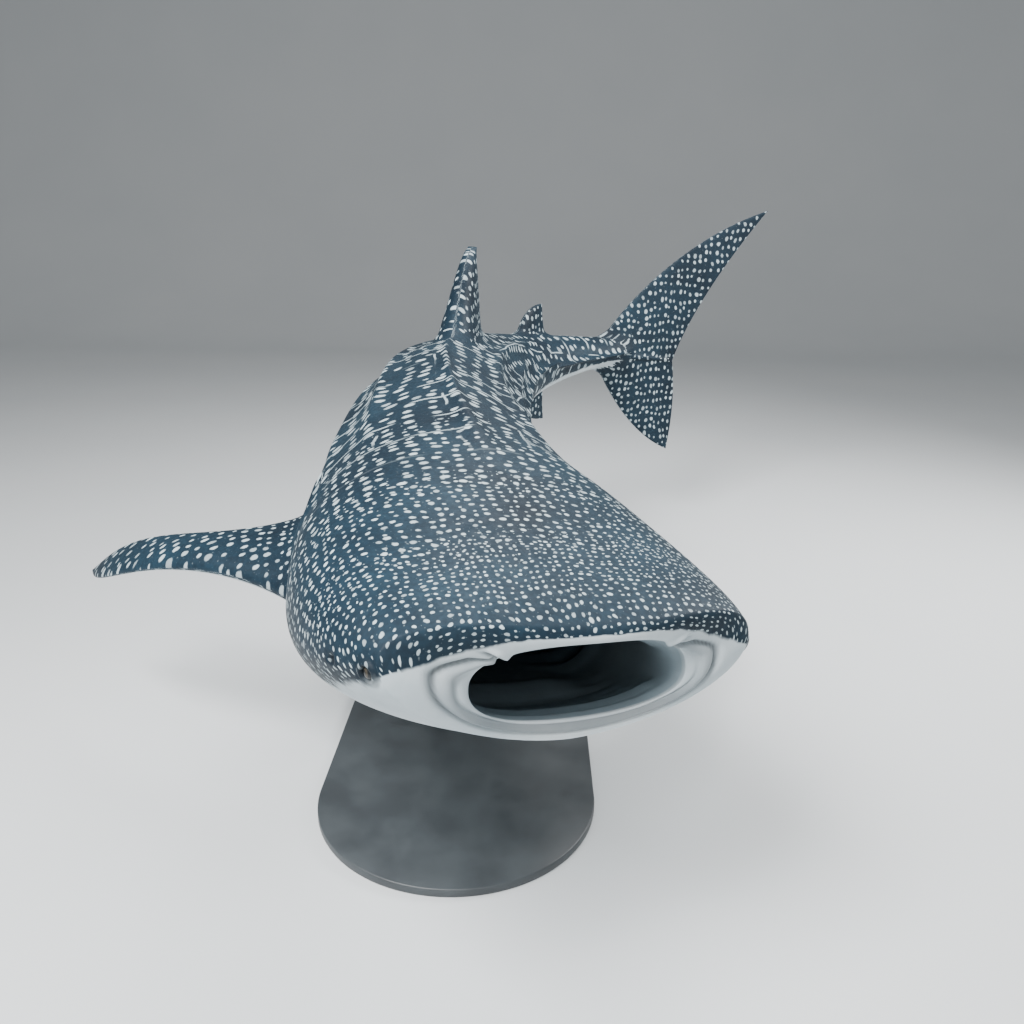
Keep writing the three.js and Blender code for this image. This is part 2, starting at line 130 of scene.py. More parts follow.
# Columns and rows of the skin's grid
COLUMNS = 280
THROAT_ROWS, MOUTH_ROWS, LIP_ROWS, HEAD_ROWS = 10, 36, 38, 61
GILL_START, GILL_END, HEAD_END = 0.137, 0.279, 0.135
TRUNK_START, TRUNK_ROWS, STOCK_START, STOCK_ROWS = 0.283, 68, 0.7, 24


def rise(x, start, end):
    """0 before start, 1 after end, smooth between."""
    t = np.clip((x - start) / (end - start), 0, 1)
    return t * t * (3 - 2 * t)


def bump(x, middle, width):
    """A rounded bump of height 1, 1/e high at width from its middle."""
    return np.exp(-(((x - middle) / width) ** 2))


# The middle line, added up in fine steps from the nose
LINE_STEP = 0.0005


def directions(s):
    """Unit vectors at a station: back along the body, to its left, and up, banked about the first."""
    turn, dip, bank = np.radians(TURN(s)), np.radians(DIP(s)), np.radians(BANK(s))
    back = np.stack([np.sin(turn) * np.cos(dip), np.cos(turn) * np.cos(dip), np.sin(dip)], -1)
    left = np.stack([np.cos(turn), -np.sin(turn), 0 * turn], -1)
    up = np.cross(left, back)
    c, d = np.cos(bank)[..., None], np.sin(bank)[..., None]
    return back, left * c + up * d, up * c - left * d


line_stations = np.arange(0, 1.06, LINE_STEP)
line_steps = directions(line_stations + LINE_STEP / 2)[0] * LINE_STEP * LENGTH
middle_line = NOSE + np.vstack([np.zeros(3), np.cumsum(line_steps, 0)])[:-1]


def middle(s):
    """The middle line's point at a station."""
    return np.stack([np.interp(s, line_stations, middle_line[:, i]) for i in range(3)], -1)


def place(s, x, h):
    """The point at a station, x to the left of the middle line and h over it, as fractions."""
    s, x, h = np.broadcast_arrays(s, x, h)
    _, left, up = directions(s)
    return middle(s) + (left * x[..., None] + up * h[..., None]) * LENGTH


def power(value, squareness):
    """Signed power, which makes a circle into a squarer or sharper round."""
    return np.sign(value) * np.abs(value) ** (2 / squareness)


def ridge_height(s, angle):
    """Sum over both sides' ridges of height x fade / (1 + (angle from the crest / spread)^2)."""
    total = 0
    for crest, first, last, height in RIDGES:
        length = 0.25 * (last - first)
        fade = rise(s, first, first + length) * (1 - rise(s, last - length, last))
        for side in {crest, 180 - crest}:
            away = np.abs((angle - side + 540) % 360 - 180) / RIDGE_SPREAD
            total = total + fade * height / (1 + away**2)
    return total


def body_point(s, angle, grow=0):
    """A rounded oval whose upper and lower halves differ, with the ridges on it, as (x, h)."""
    c, d = np.cos(np.radians(angle)), np.sin(np.radians(angle))
    level = WIDEST_LEVEL(s)
    square = np.where(d > 0, UPPER_SQUARENESS(s), LOWER_SQUARENESS(s))
    tall = np.where(d > 0, BACK(s) - level, BELLY(s) + level)
    out = ridge_height(s, angle) + grow
    return HALF_WIDTH(s) * power(c, square) + out * c, level + tall * power(d, square) + out * d


def front_edge(angle):
    """Station of the lips' edge: a shallow arc across the snout, and the lower lip set back."""
    c, d = np.abs(np.cos(np.radians(angle))), np.sin(np.radians(angle))
    upper = LIP_BULGE + SNOUT_CORNER * c**1.6
    lower = LIP_BULGE + SNOUT_CORNER + (LOWER_LIP - SNOUT_CORNER) * d**2
    return np.where(d > 0, upper, lower)


def mouth_point(s, angle):
    """A squarish oval between the mouth's roof and floor, as (x, h)."""
    roof, floor = MOUTH_ROOF(s), MOUTH_FLOOR(s)
    c, d = np.cos(np.radians(angle)), np.sin(np.radians(angle))
    x = MOUTH_HALF_WIDTH(s) * power(c, MOUTH_SQUARENESS)
    return x, (roof + floor) / 2 + (roof - floor) / 2 * power(d, MOUTH_SQUARENESS)


def elevation(angle):
    """The angle over the level: 90 at the back, 0 at either flank, -90 at the belly."""
    return np.degrees(np.arcsin(np.clip(np.sin(np.radians(angle)), -1, 1)))


def column_angles():
    """Angles from the belly round, at even shares of two sections' mean outline, one on the head
    and one on the trunk, and closer together by the eyes."""
    fine = np.linspace(-90, 270, 7201)
    shares = 0
    for s in (0.05, 0.3):
        x, h = body_point(np.full_like(fine, s), fine)
        steps = np.hypot(np.diff(x), np.diff(h))
        shares = shares + steps / steps.sum()
    middles = (fine[1:] + fine[:-1]) / 2
    for eye in (EYE[1], 180 - EYE[1]):
        shares = shares * (1 + 2.5 * bump(middles, eye, 5))
    shares = np.concatenate([[0], np.cumsum(shares)]) / shares.sum()
    return np.interp(np.arange(COLUMNS) / COLUMNS, shares, fine)


def head_shares():
    """Shares of the head's length at which its rows lie: close at the lips, closest by the eyes."""
    fine = np.linspace(0, 1, 2001)
    eye, spiracle = ((s - front_edge(EYE[1])) / HEAD_END for s in (EYE[0], SPIRACLE[0]))
    crowd = (fine + 0.03) ** -0.45 + 9 * bump(fine, eye, 0.045) + 4 * bump(fine, spiracle, 0.03)
    crowd = np.concatenate([[0], np.cumsum(crowd)[:-1]])
    return np.interp(np.linspace(0, 1, HEAD_ROWS), crowd / crowd[-1], fine)


# Section of a gill slit from front to back: distance behind its lip and height over the skin, in
# millimetres. The flap's lip, at the row of SLIT_LIP, swells, and the slit dives under it and
# comes up on the next flap. Rows within SLIT_REACH of the lip close to even steps at its ends.
SLIT_SECTION = [
    (-46, 0.5), (-28, 5), (-14, 10), (-5, 13), (-1, 10.5), (0, 5), (-2, -6),
    (-9, -34), (-3, -50), (5, -36), (8, -10), (12, -1), (22, 0),
]
SLIT_LIP, SLIT_REACH, SLIT_STEP = 5, 20, 3
# Plain rows before the first slit and behind the last, and the gap from them to the slit
PLAIN_ROWS, PLAIN_GAP = 7, 0.009


def gill_rows(angle):
    """Stations, and growth of the section, of the rows over the gills.

    Rows lean and bow with the slits. Towards a slit's two ends its heights fade to nothing and
    the rows near its lip go to even steps.
    """
    tilt = elevation(angle)

    def along_slit(i):
        """0 at a slit's top and 1 at its bottom; i may lie between two slits."""
        top, bottom = SLIT_TOP - 2 * i, SLIT_BOTTOM + 4 * i
        return (top - tilt) / (top - bottom)

    def lean(s):
        """How far a row moves along the body: a slant and a bow down the slit next to it."""
        i = np.clip((s - SLIT_FIRST) / (SLIT_LAST - SLIT_FIRST), 0, 1) * (SLITS - 1)
        t = np.clip(along_slit(i), -0.25, 1.25)
        return SLIT_LEAN * (0.5 - t) + SLIT_BOW * np.clip(1 - (2 * t - 1) ** 2, 0, 1)

    stations, growth = [], []
    for s in np.linspace(GILL_START, SLIT_FIRST - PLAIN_GAP, PLAIN_ROWS):
        stations.append(s + rise(s, 0.13, 0.16) * lean(s))
        growth.append(0 * tilt)
    for i, s in enumerate(np.linspace(SLIT_FIRST, SLIT_LAST, SLITS)):
        t = along_slit(i)
        gape = rise(t, 0, 0.16) * (1 - rise(t, 0.84, 1))
        swell = rise(t, -0.1, 0.2) * (1 - rise(t, 0.8, 1.1))
        for row, (behind, height) in enumerate(SLIT_SECTION):
            even = (row - SLIT_LIP) * SLIT_STEP
            shift = behind if abs(behind) > SLIT_REACH else even + (behind - even) * gape
            stations.append(s + shift * MM + lean(s))
            growth.append(height * MM * (gape if height < 0 else swell))
    for s in np.linspace(SLIT_LAST + PLAIN_GAP, GILL_END, PLAIN_ROWS):
        stations.append(s + (1 - rise(s, 0.25, 0.28)) * lean(s))
        growth.append(0 * tilt)
    return np.concatenate(stations), np.concatenate(growth)


# Edge between the dark back and the pale underside: elevation against the metres behind the lips
SHADE_EDGE = spline(
    [-0.02, 0, 0.05, 0.11, 0.3, 0.8, 1.5, 2.5, 4, 5.7],
    [-9, -9, -12, -17, -25, -32, -38, -40, -36, -28],
)
SHADE_WIDTH = 12
LIP_SHADE_WIDTH = 16
# Turn over the upper lip at which the dark skin ends, against the elevation
LIP_SHADE = spline([-10, -3, 10, 30, 50, 70, 90], [0, 42, 76, 92, 92, 80, 74])


def skin_rows():
    """The skin's rows, out of the throat, over the lips, and back to the tail.

    Gives for every point its place, station, distance behind the lips' edge outside and depth
    behind it inside, turn over the lips from 0 outside to 180 inside, how far into a gill slit it
    lies, and its angle.
    """
    angle = column_angles()[None, :]
    edge = front_edge(angle)
    level = 0 * angle
    points, stations, behind, inward, turns, gaps = [], [], [], [], [], []

    def keep(point, s, back, into, turn, gap):
        """Adds rows, with each value spread over all their points."""
        shape = point.shape[:2]
        points.append(point)
        banks = (stations, behind, inward, turns, gaps)
        for bank, values in zip(banks, (s, back, into, turn, gap)):
            bank.append(np.broadcast_to(values, shape))

    def inside(s, point):
        """Adds rows of the mouth's lining."""
        keep(point, s, -0.1, (s - edge) * LENGTH, 180, 0)

    # The throat closes like a dome, then the mouth runs forward to the lips
    pole = np.full((1, COLUMNS), THROAT_STATION)
    inside(pole, place(pole, 0, THROAT_LEVEL))
    t = np.arange(1, THROAT_ROWS)[:, None] / THROAT_ROWS * np.pi / 2
    x, h = mouth_point(np.full_like(t, MOUTH_END), angle)
    s = MOUTH_END + (THROAT_STATION - MOUTH_END) * np.cos(t) + level
    inside(s, place(s, x * np.sin(t), THROAT_LEVEL + (h - THROAT_LEVEL) * np.sin(t)))
    t = 1 - np.linspace(0, 1, MOUTH_ROWS)[:, None] ** 0.75
    s = edge + (MOUTH_END - edge) * t
    inside(s, place(s, *mouth_point(s, angle)))

    # The lips are half an oval from the mouth's edge to the outside
    turn = np.pi * (1 - np.arange(1, LIP_ROWS)[:, None] / LIP_ROWS) + level
    outer = place(edge, *body_point(edge, angle))
    tangent = place(edge + LIP_TANGENT, *body_point(edge + LIP_TANGENT, angle))
    inner = place(edge, *mouth_point(edge, angle))
    forward = outer - tangent
    forward *= LIP_BULGE * LENGTH / np.linalg.norm(forward, axis=-1, keepdims=True)
    across = (outer - inner) * np.cos(turn)[..., None] / 2
    lip = (outer + inner) / 2 + across + forward * np.sin(turn)[..., None]
    keep(lip, edge, -0.02 * (1 - np.cos(turn)) / 2, 0, np.degrees(turn), 0)

    # Head, gills, trunk and tail stock, closed at the tail
    def outside(s, growth):
        """Adds rows of the outer skin, grown or shrunk by the growth of the section."""
        point = place(s, *body_point(s, angle, growth))
        # The last value, how far into a gill slit the point lies, sets the painted shade there
        keep(point, s, (s - edge) * LENGTH, 0, 0, rise(-growth, 4 * MM, 30 * MM))

    t = head_shares()[:, None]
    outside(edge + (HEAD_END - edge) * t, 0 * t + level)
    outside(*gill_rows(angle))
    trunk = np.linspace(TRUNK_START, STOCK_START, TRUNK_ROWS)
    stock = np.linspace(STOCK_START, BODY_END, STOCK_ROWS)[1:]
    t = np.concatenate([trunk, stock])[:, None]
    outside(t + level, 0 * t + level)
    end = np.full((1, COLUMNS), BODY_END)
    keep(place(end, 0, (BACK(end) - BELLY(end)) / 2), end, (end - edge) * LENGTH, 0, 0, 0)

    joined = [np.concatenate(bank) for bank in (points, stations, behind, inward, turns, gaps)]
    return joined, np.broadcast_to(angle, joined[1].shape)


def normals_of(points):
    """Unit normals out of the flesh, of a grid of points closed along its rows: the two central
    differences' cross product."""
    along = np.gradient(points, axis=0)
    around = np.roll(points, -1, 1) - np.roll(points, 1, 1)
    normal = np.cross(along, around)
    return normal / np.maximum(np.linalg.norm(normal, axis=-1, keepdims=True), 1e-12)


# The mouth's lining, in metres: depth behind the lips and height of the groove, the band of tiny
# teeth, the flap, the folds on the floor, and the arches at the throat's sides
LIP_GROOVE = (0.022, 0.004)
TOOTH_BAND = (0.05, 0.008)
FLAP = (0.125, 0.022)
FLOOR_FOLDS = [(0.2, 0.012), (0.27, 0.009), (0.35, 0.009), (0.44, 0.008)]
ARCH_DEPTHS, ARCH_HEIGHT = np.linspace(0.6, 1.02, 5), 0.03
TONGUE_HEIGHT = 0.045
# Share of this relief that the throat's dome keeps
DOME_SHARE = 0.3


def mouth_relief(depth, angle):
    """Height of the mouth's lining, in metres, against the depth behind the lips.

    Rounded bumps over the depth: a groove and a band of tiny teeth behind each lip, a flap with
    a steep back across the roof and floor, arcs of folds on the floor, and arches at the sides.
    The tongue is a plateau on the floor. Each fades round the section by the elevation.
    """
    tilt = elevation(angle)
    jaws = rise(np.abs(tilt), 14, 34)
    floor = rise(-tilt, 20, 50)
    inside = rise(depth, 0.005, 0.03)
    teeth = TOOTH_BAND[1] * jaws * bump(depth, TOOTH_BAND[0], 0.016)
    relief = teeth - LIP_GROOVE[1] * bump(depth, LIP_GROOVE[0], 0.01)
    flap = bump(depth, FLAP[0], np.where(depth < FLAP[0], 0.03, 0.012))
    relief = relief + FLAP[1] * jaws * flap
    for fold, height in FLOOR_FOLDS:
        relief = relief + height * floor * bump(depth, fold, 0.018)
    tongue = rise(-tilt, 40, 72) * rise(depth, 0.3, 0.42) * (1 - rise(depth, 0.75, 0.95))
    relief = relief + TONGUE_HEIGHT * tongue
    sides = 1 - rise(np.abs(tilt), 45, 75)
    for arch in ARCH_DEPTHS:
        relief = relief + ARCH_HEIGHT * sides * bump(depth, arch, 0.022)
    return relief * inside


def furrow_turn(tilt):
    """Turn over the lips at which the furrow runs: near their front at the mouth's corner, well
    inside above it, and a little outside below it."""
    return 93 + 30 * rise(tilt, 0, 36) + 34 * rise(tilt, 30, 41) - 23 * rise(-tilt, 0, 60)


def band_width(tilt):
    """Turn from the furrow to the inner edge of the lips' dark band: wider under the mouth."""
    return 34 + 32 * rise(-tilt, 10, 60)


# Heights on the lips, in metres
NOSTRIL_FLAP, NOSTRIL_DEPTH = 0.012, 0.018
FOLD_HEIGHT, FURROW_DEPTH, FINE_FURROW_DEPTH = 0.009, 0.016, 0.007


def lip_relief(turn, angle):
    """Height on the lips, in metres: rounded bumps over the elevation and the turn.

    A channel and a flap at each nostril, on the upper lip's inner half. A furrow from there round
    the corner of the mouth to the lower lip, with a fold inside it, and a finer furrow along the
    inner edge of the lips' dark band.
    """
    tilt = elevation(angle)
    inner = rise(turn, 96, 128)
    nostril = NOSTRIL_FLAP * bump(tilt, NOSTRIL_ANGLE + 4.5, 3)
    nostril = nostril - NOSTRIL_DEPTH * bump(tilt, NOSTRIL_ANGLE, 2)
    corner = (0.35 + 0.65 * rise(tilt, -75, -35)) * (1 - rise(tilt, 36, 43))
    furrow = bump(turn, furrow_turn(tilt), 7)
    fold = bump(turn, furrow_turn(tilt) + 22, 12)
    fine = bump(turn, furrow_turn(tilt) + band_width(tilt), 6)
    folds = corner * (FOLD_HEIGHT * fold - FURROW_DEPTH * furrow - FINE_FURROW_DEPTH * fine)
    return (inner * nostril + folds) * (1 - rise(turn, 172, 180))


def lip_shade_and_pigment(turn, tilt):
    """How dark the lips are painted, from 0 to 1: the most of painted shade in a nostril's channel and
    in the furrow, and of the band between the furrow and the finer one, which is partly the lips' dark
    pigment and partly painted shade."""
    nostril = rise(turn, 105, 130) * bump(tilt, NOSTRIL_ANGLE, 1.6)
    sides = 1 - rise(tilt, 37, 43)
    first, last = furrow_turn(tilt), furrow_turn(tilt) + band_width(tilt)
    furrow = rise(tilt, -70, -25) * sides * bump(turn, first, 6)
    band = rise(turn, first - 6, first + 4) * (1 - rise(turn, last - 8, last + 8)) * sides
    # Faint painted shade over the lips' turn, and the band, partly pigment and partly painted shade,
    # darker under the mouth where shade falls
    shade = 0.06 * rise(turn, 20, 90) + (0.34 + 0.2 * rise(-tilt, 20, 60)) * band
    return np.maximum(np.maximum(0.9 * nostril, 0.75 * furrow), shade)


def feature_point(station, angle, side, grow=0):
    """The skin's point at a station and angle on the left, or mirrored on the right."""
    angle = angle if side > 0 else 180 - angle
    return place(station, *body_point(station, angle, grow))


def eye_centre(side):
    """Middle of an eye's socket, sunk a little under the skin."""
    return feature_point(*EYE, side, -EYE_SUNK)


# Heights round the eyes and spiracles, in metres
LID_RADIUS, LID_HEIGHT, SOCKET_DEPTH = 0.026, 0.006, 0.022
LID_CREASE_RADIUS, LID_CREASE_DEPTH = 0.043, 0.003
SPIRACLE_RIM, SPIRACLE_RIM_HEIGHT, SPIRACLE_DEPTH = 0.022, 0.003, 0.018


def face_relief(points):
    """Height on the head, in metres, and painted shade, from 0 to 1, in the hollows of the sockets and
    spiracles and round the eyes.

    Both are bumps and steps over the distance from an eye's or a spiracle's middle: a socket under
    each eye, thick lids round an opening smaller than the ball, and a crease behind the lids. The
    small round spiracles behind the eyes have low rims.
    """
    relief, shade_and_lip_pigment = 0, 0
    for side in (1, -1):
        away = np.linalg.norm(points - eye_centre(side), axis=-1)
        across = np.sqrt(np.maximum(away**2 - (EYE_SUNK * LENGTH) ** 2, 0))
        relief = relief + LID_HEIGHT * bump(across, LID_RADIUS, 0.009)
        relief = relief - LID_CREASE_DEPTH * bump(across, LID_CREASE_RADIUS, 0.006)
        relief = relief - SOCKET_DEPTH * (1 - rise(across, 0.011, 0.021))
        # Painted shade in the eye's socket, and fainter round its lids
        shade_and_lip_pigment = shade_and_lip_pigment + 0.45 * (1 - rise(across, 0.016, 0.026))
        shade_and_lip_pigment = shade_and_lip_pigment + 0.5 * (1 - rise(across, 0.028, 0.055))
        away = np.linalg.norm(points - feature_point(*SPIRACLE, side), axis=-1)
        relief = relief + SPIRACLE_RIM_HEIGHT * bump(away, SPIRACLE_RIM, 0.008)
        relief = relief - SPIRACLE_DEPTH * bump(away, 0, 0.012)
        # Painted shade in the spiracle's hole
        shade_and_lip_pigment = shade_and_lip_pigment + 1 - rise(away, 0.01, 0.024)
    return relief, np.clip(shade_and_lip_pigment, 0, 1)


def girth_distance(points):
    """Distance round each row from its first point: the sum of the steps between its points."""
    steps = np.linalg.norm(np.roll(points, -1, 1) - points, axis=-1)
    return np.concatenate([np.zeros((len(points), 1)), np.cumsum(steps, 1)[:, :-1]], 1)


def weld_and_face_out(mesh):
    """Merges the points of closed ends, and turns the faces outwards."""
    work = bmesh.new()
    work.from_mesh(mesh)
    bmesh.ops.remove_doubles(work, verts=work.verts, dist=1e-6)
    bmesh.ops.dissolve_degenerate(work, edges=work.edges, dist=1e-7)
    bmesh.ops.recalc_face_normals(work, faces=work.faces)
    work.to_mesh(mesh)
    work.free()


def grid_mesh(name, points, maps=None):
    """A closed mesh over rows of points, with a UV map of two values a point for each name in maps.

    Rows are joined round; a first or last row at one place is closed by the rows' triangles.
    """
    rows, columns = points.shape[:2]
    i = np.arange(rows - 1)[:, None] * columns
    j = np.arange(columns)[None, :]
    k = (j + 1) % columns
    quads = np.stack([i + j, i + k, i + k + columns, i + j + columns], -1).reshape(-1, 4)
    mesh = bpy.data.meshes.new(name)
    mesh.vertices.add(rows * columns)
    mesh.vertices.foreach_set("co", points.astype(np.float32).ravel())
    mesh.loops.add(quads.size)
    mesh.loops.foreach_set("vertex_index", quads.astype(np.int32).ravel())
    mesh.polygons.add(len(quads))
    mesh.polygons.foreach_set("loop_start", np.arange(0, quads.size, 4, dtype=np.int32))
    mesh.update(calc_edges=True)
    for map_name, values in (maps or {}).items():
        layer = mesh.uv_layers.new(name=map_name)
        layer.data.foreach_set("uv", values.reshape(-1, 2)[quads.ravel()].astype(np.float32).ravel())
    mesh.polygons.foreach_set("use_smooth", np.ones(len(quads), bool))
    thing = bpy.data.objects.new(name, mesh)
    bpy.context.scene.collection.objects.link(thing)
    weld_and_face_out(mesh)
    return thing


def make_body():
    """The skin without fins: each point moves along its normal by the relief, and has three maps.

    BodyMap holds the distance along the body, and on round the lips, and the distance round it
    from the middle of the back, in metres. ToneMap holds the height over the edge of the pale
    underside, in widths of that edge, and the depth in the mouth. The third map holds painted
    shade, from how far into a gill slit, socket, spiracle, nostril or furrow a point lies, and on
    the lips their dark band, partly pigment and partly painted shade; and 0, which is 1 on a fin.
    """
    (points, station, behind, depth, turn, gap), angle = skin_rows()
    normal = normals_of(points)
    around = girth_distance(points)
    back = np.argmin(np.abs(angle[0] - 90))
    girth = around - around[:, back:back + 1]
    relief, shade_and_lip_pigment = face_relief(points)
    outside = turn == 0
    inside = turn == 180
    lips = ~outside & ~inside
    height = relief * outside + lip_relief(turn, angle) * lips
    height = height + mouth_relief(depth, angle) * inside
    # The rows of the throat's pole and the tail's end stay on one point
    height[0] = height[-1] = 0
    height[1:THROAT_ROWS] *= DOME_SHARE
    points = points + normal * height[..., None]
    tilt = elevation(angle)
    over = (tilt - SHADE_EDGE(behind)) / SHADE_WIDTH
    over = np.where(lips, np.minimum(over, (LIP_SHADE(tilt) - turn) / LIP_SHADE_WIDTH), over)
    over = np.where(inside, -3, over)
    # Painted shade in the gill slits, sockets, spiracles, nostrils and furrows, and on the lips their
    # band, which is partly pigment and partly painted shade
    shade_and_lip_pigment = np.clip(gap + shade_and_lip_pigment * outside + lips * lip_shade_and_pigment(turn, tilt), 0, 1)
    steps = np.linalg.norm(np.diff(points, axis=0), axis=-1) * (turn[:-1] > 0)
    over_lip = np.cumsum(np.concatenate([steps, 0 * steps[:1]])[::-1], 0)[::-1]
    maps = {
        "BodyMap": np.stack([np.where(inside, 0, station * LENGTH - over_lip * lips), girth], -1),
        "ToneMap": np.stack([over, np.where(inside, depth, 0)], -1),
        "ShadeAndPigmentMap": np.stack([shade_and_lip_pigment, 0 * shade_and_lip_pigment], -1),
    }
    return grid_mesh("skin", points, maps)


# Fins: curve points (chord, span) of the front and rear edges, and the root's thickness
FIN_ROWS, FIN_COLUMNS = 36, 48
FIN_CROWDING = 1.4
DROP_TAPER, DROP_FULLNESS = 0.55, 1.3
TIP_THICKNESS, FIN_THINNING = 0.15, 0.5
# Each fin's map starts this far from the one before, in metres, so that no two look alike
FIN_MAP_STEP = 3.7
BACK_FINS = {
    "first_dorsal_fin": (
        [(0.412, 0.052), (0.472, 0.088), (0.482, 0.134), (0.527, 0.1395)],
        [(0.551, 0.052), (0.545, 0.075), (0.54, 0.125), (0.527, 0.1395)], 0.052,
    ),
    "second_dorsal_fin": (
        [(0.634, 0.018), (0.65, 0.052), (0.665, 0.065), (0.69, 0.064)],
        [(0.706, 0.018), (0.688, 0.036), (0.694, 0.06), (0.69, 0.064)], 0.018,
    ),
    "anal_fin": (
        [(0.634, -0.016), (0.65, -0.048), (0.668, -0.064), (0.694, -0.064)],
        [(0.7, -0.016), (0.688, -0.036), (0.696, -0.06), (0.694, -0.064)], 0.016,
    ),
    "caudal_fin_upper": (
        [(0.77, -0.002), (0.815, 0.055), (0.9, 0.13), (0.985, 0.165)],
        [(0.885, -0.016), (0.9, 0.03), (0.935, 0.09), (0.985, 0.165)], 0.027,
    ),
    "caudal_fin_lower": (
        [(0.77, 0.002), (0.795, -0.05), (0.835, -0.105), (0.887, -0.125)],
        [(0.885, -0.012), (0.893, -0.05), (0.893, -0.09), (0.887, -0.125)], 0.027,
    ),
}
PECTORAL = (
    [(0.176, -0.03), (0.256, 0.0186), (0.245, 0.107), (0.373, 0.1434)],
    [(0.2844, -0.03), (0.26, 0.0446), (0.3075, 0.0852), (0.373, 0.1434)], 0.028,
)
PECTORAL_POSE = dict(
    station=0.25, x=0.113, level=-0.0333, droop=13, twist=-13, curl=0.0731, reach=0.1434
)
PELVIC = (
    [(0.505, -0.02), (0.515, 0.012), (0.53, 0.035), (0.552, 0.046)],
    [(0.548, -0.02), (0.545, 0.005), (0.547, 0.028), (0.552, 0.046)], 0.012,
)
PELVIC_POSE = dict(station=0.53, x=0.034, level=-0.038, droop=48, twist=4, curl=0, reach=0.046)


def bezier(points, t):
    """Cubic curve through the first and last of four points, drawn to the two between."""
    a, b, c, d = (np.array(p) for p in points)
    t = t[..., None]
    return a * (1 - t) ** 3 + 3 * b * t * (1 - t) ** 2 + 3 * c * t**2 * (1 - t) + d * t**3


def on_back(chord, span, side):
    """A fin's point in the body's middle plane, bending with the body."""
    return place(chord, side, span)


def paired(side, station, x, level, droop, twist, curl, reach):
    """A function that places a paired fin's points, in the straight frame of one station: the
    plane leans down by its droop, twists about its span, and curls down towards the tip."""
    back, left, up = directions(station)

    def put(chord, span, thick):
        """The points at a chord and span in the fin's plane, and thick over it."""
        c, d = np.cos(np.radians(droop)), np.sin(np.radians(droop))
        out = span * c - thick * d
        down = span * d + thick * c + curl * np.sign(span) * np.abs(span / reach) ** 3
        drop = down + (chord - station) * np.tan(np.radians(twist))
        across, over = side * (x + out), level - drop
        offset = (chord - station)[..., None] * back + across[..., None] * left
        offset = offset + over[..., None] * up
        return middle(station) + offset * LENGTH

    return put


def make_fin(name, outline, put, pale_below, number):
    """A fin between two edge curves that meet at its tip. Each section is a drop, thickest before
    its middle, and the fin thins towards the tip. A paired fin is pale below, except its edges."""
    front, rear, thickness = outline
    u = 1 - (1 - np.arange(FIN_ROWS + 1) / FIN_ROWS) ** FIN_CROWDING
    u = np.concatenate([u[:1], u])[:, None]
    turn = (2 * np.pi * np.arange(FIN_COLUMNS) / FIN_COLUMNS)[None, :]
    along = (1 - np.cos(turn)) / 2 + 0 * u
    a, b = bezier(front, u), bezier(rear, u)
    flat = a + (b - a) * along[..., None]
    half = thickness / 2 * (1 - (1 - TIP_THICKNESS) * u**FIN_THINNING)
    side = half * np.sin(turn) * (1 - DROP_TAPER * along) * DROP_FULLNESS
    flat[0], side[0] = flat[1].mean(0), 0
    flat[-1], side[-1] = flat[-1].mean(0), 0
    points = put(flat[..., 0], flat[..., 1], side)
    below = 1 - 4 * rise(np.abs(np.sin(turn)), 0.1, 0.5)
    dark = np.where(pale_below * np.sin(turn) > 0, below, 1) + 0 * u
    facing = np.where(np.sin(turn) > 0, 1, -1)
    mirror = np.stack([np.ones_like(along), facing + 0 * u], -1)
    maps = {
        "BodyMap": flat * LENGTH * mirror + number * FIN_MAP_STEP,
        "ToneMap": np.stack([dark * 2, 0 * along - 1], -1),
        "ShadeAndPigmentMap": np.stack([0 * along, np.ones_like(along)], -1),
    }
    return grid_mesh(name, points, maps)


# Creases at the fins' roots: how far the rounding reaches in metres, the share of the way to its
# neighbours' mean that a round moves a point at the root, how many rounds, and how many steps
# along edges the reach is followed
CREASE_REACH, CREASE_SHARE, CREASE_ROUNDS, REACH_STEPS = 0.1, 0.7, 30, 16


def round_creases(mesh):
    """Moves the points near the fins' roots towards their neighbours' mean, most at the roots.

    The distance from the roots, where the two material slots meet, is added up along the edges.
    """
    count = len(mesh.vertices)
    points = np.empty(count * 3)
    mesh.vertices.foreach_get("co", points)
    points = points.reshape(-1, 3)
    edges = np.empty(len(mesh.edges) * 2, np.int64)
    mesh.edges.foreach_get("vertices", edges)
    one, two = edges.reshape(-1, 2).T
    slot = np.empty(len(mesh.polygons), np.int32)
    mesh.polygons.foreach_get("material_index", slot)
    sizes = np.empty(len(mesh.polygons), np.int32)
    mesh.polygons.foreach_get("loop_total", sizes)
    corners = np.empty(len(mesh.loops), np.int64)
    mesh.loops.foreach_get("vertex_index", corners)
    of_corner = np.repeat(slot, sizes)
    touches = np.zeros((2, count), bool)
    for kind in (0, 1):
        touches[kind, corners[of_corner == kind]] = True
    away = np.where(touches[0] & touches[1], 0, 1.0)
    length = np.linalg.norm(points[one] - points[two], axis=1)
    for _ in range(REACH_STEPS):
        reached = away.copy()
        np.minimum.at(reached, one, away[two] + length)
        np.minimum.at(reached, two, away[one] + length)
        away = reached
    share = (1 - rise(away, 0, CREASE_REACH)) * CREASE_SHARE
    near = np.bincount(one, minlength=count) + np.bincount(two, minlength=count)
    for _ in range(CREASE_ROUNDS):
        total = np.stack([
            np.bincount(one, points[two, i], count) + np.bincount(two, points[one, i], count)
            for i in range(3)
        ], 1)
        points = points + share[:, None] * (total / np.maximum(near, 1)[:, None] - points)
    mesh.vertices.foreach_set("co", points.ravel())
    mesh.update()


def apply_modifiers(thing):
    """Puts the mesh that the modifiers make in the place of the object's own."""
    bpy.context.view_layer.update()
    graph = bpy.context.evaluated_depsgraph_get()
    mesh = bpy.data.meshes.new_from_object(thing.evaluated_get(graph))
    thing.modifiers.clear()
    thing.data = mesh


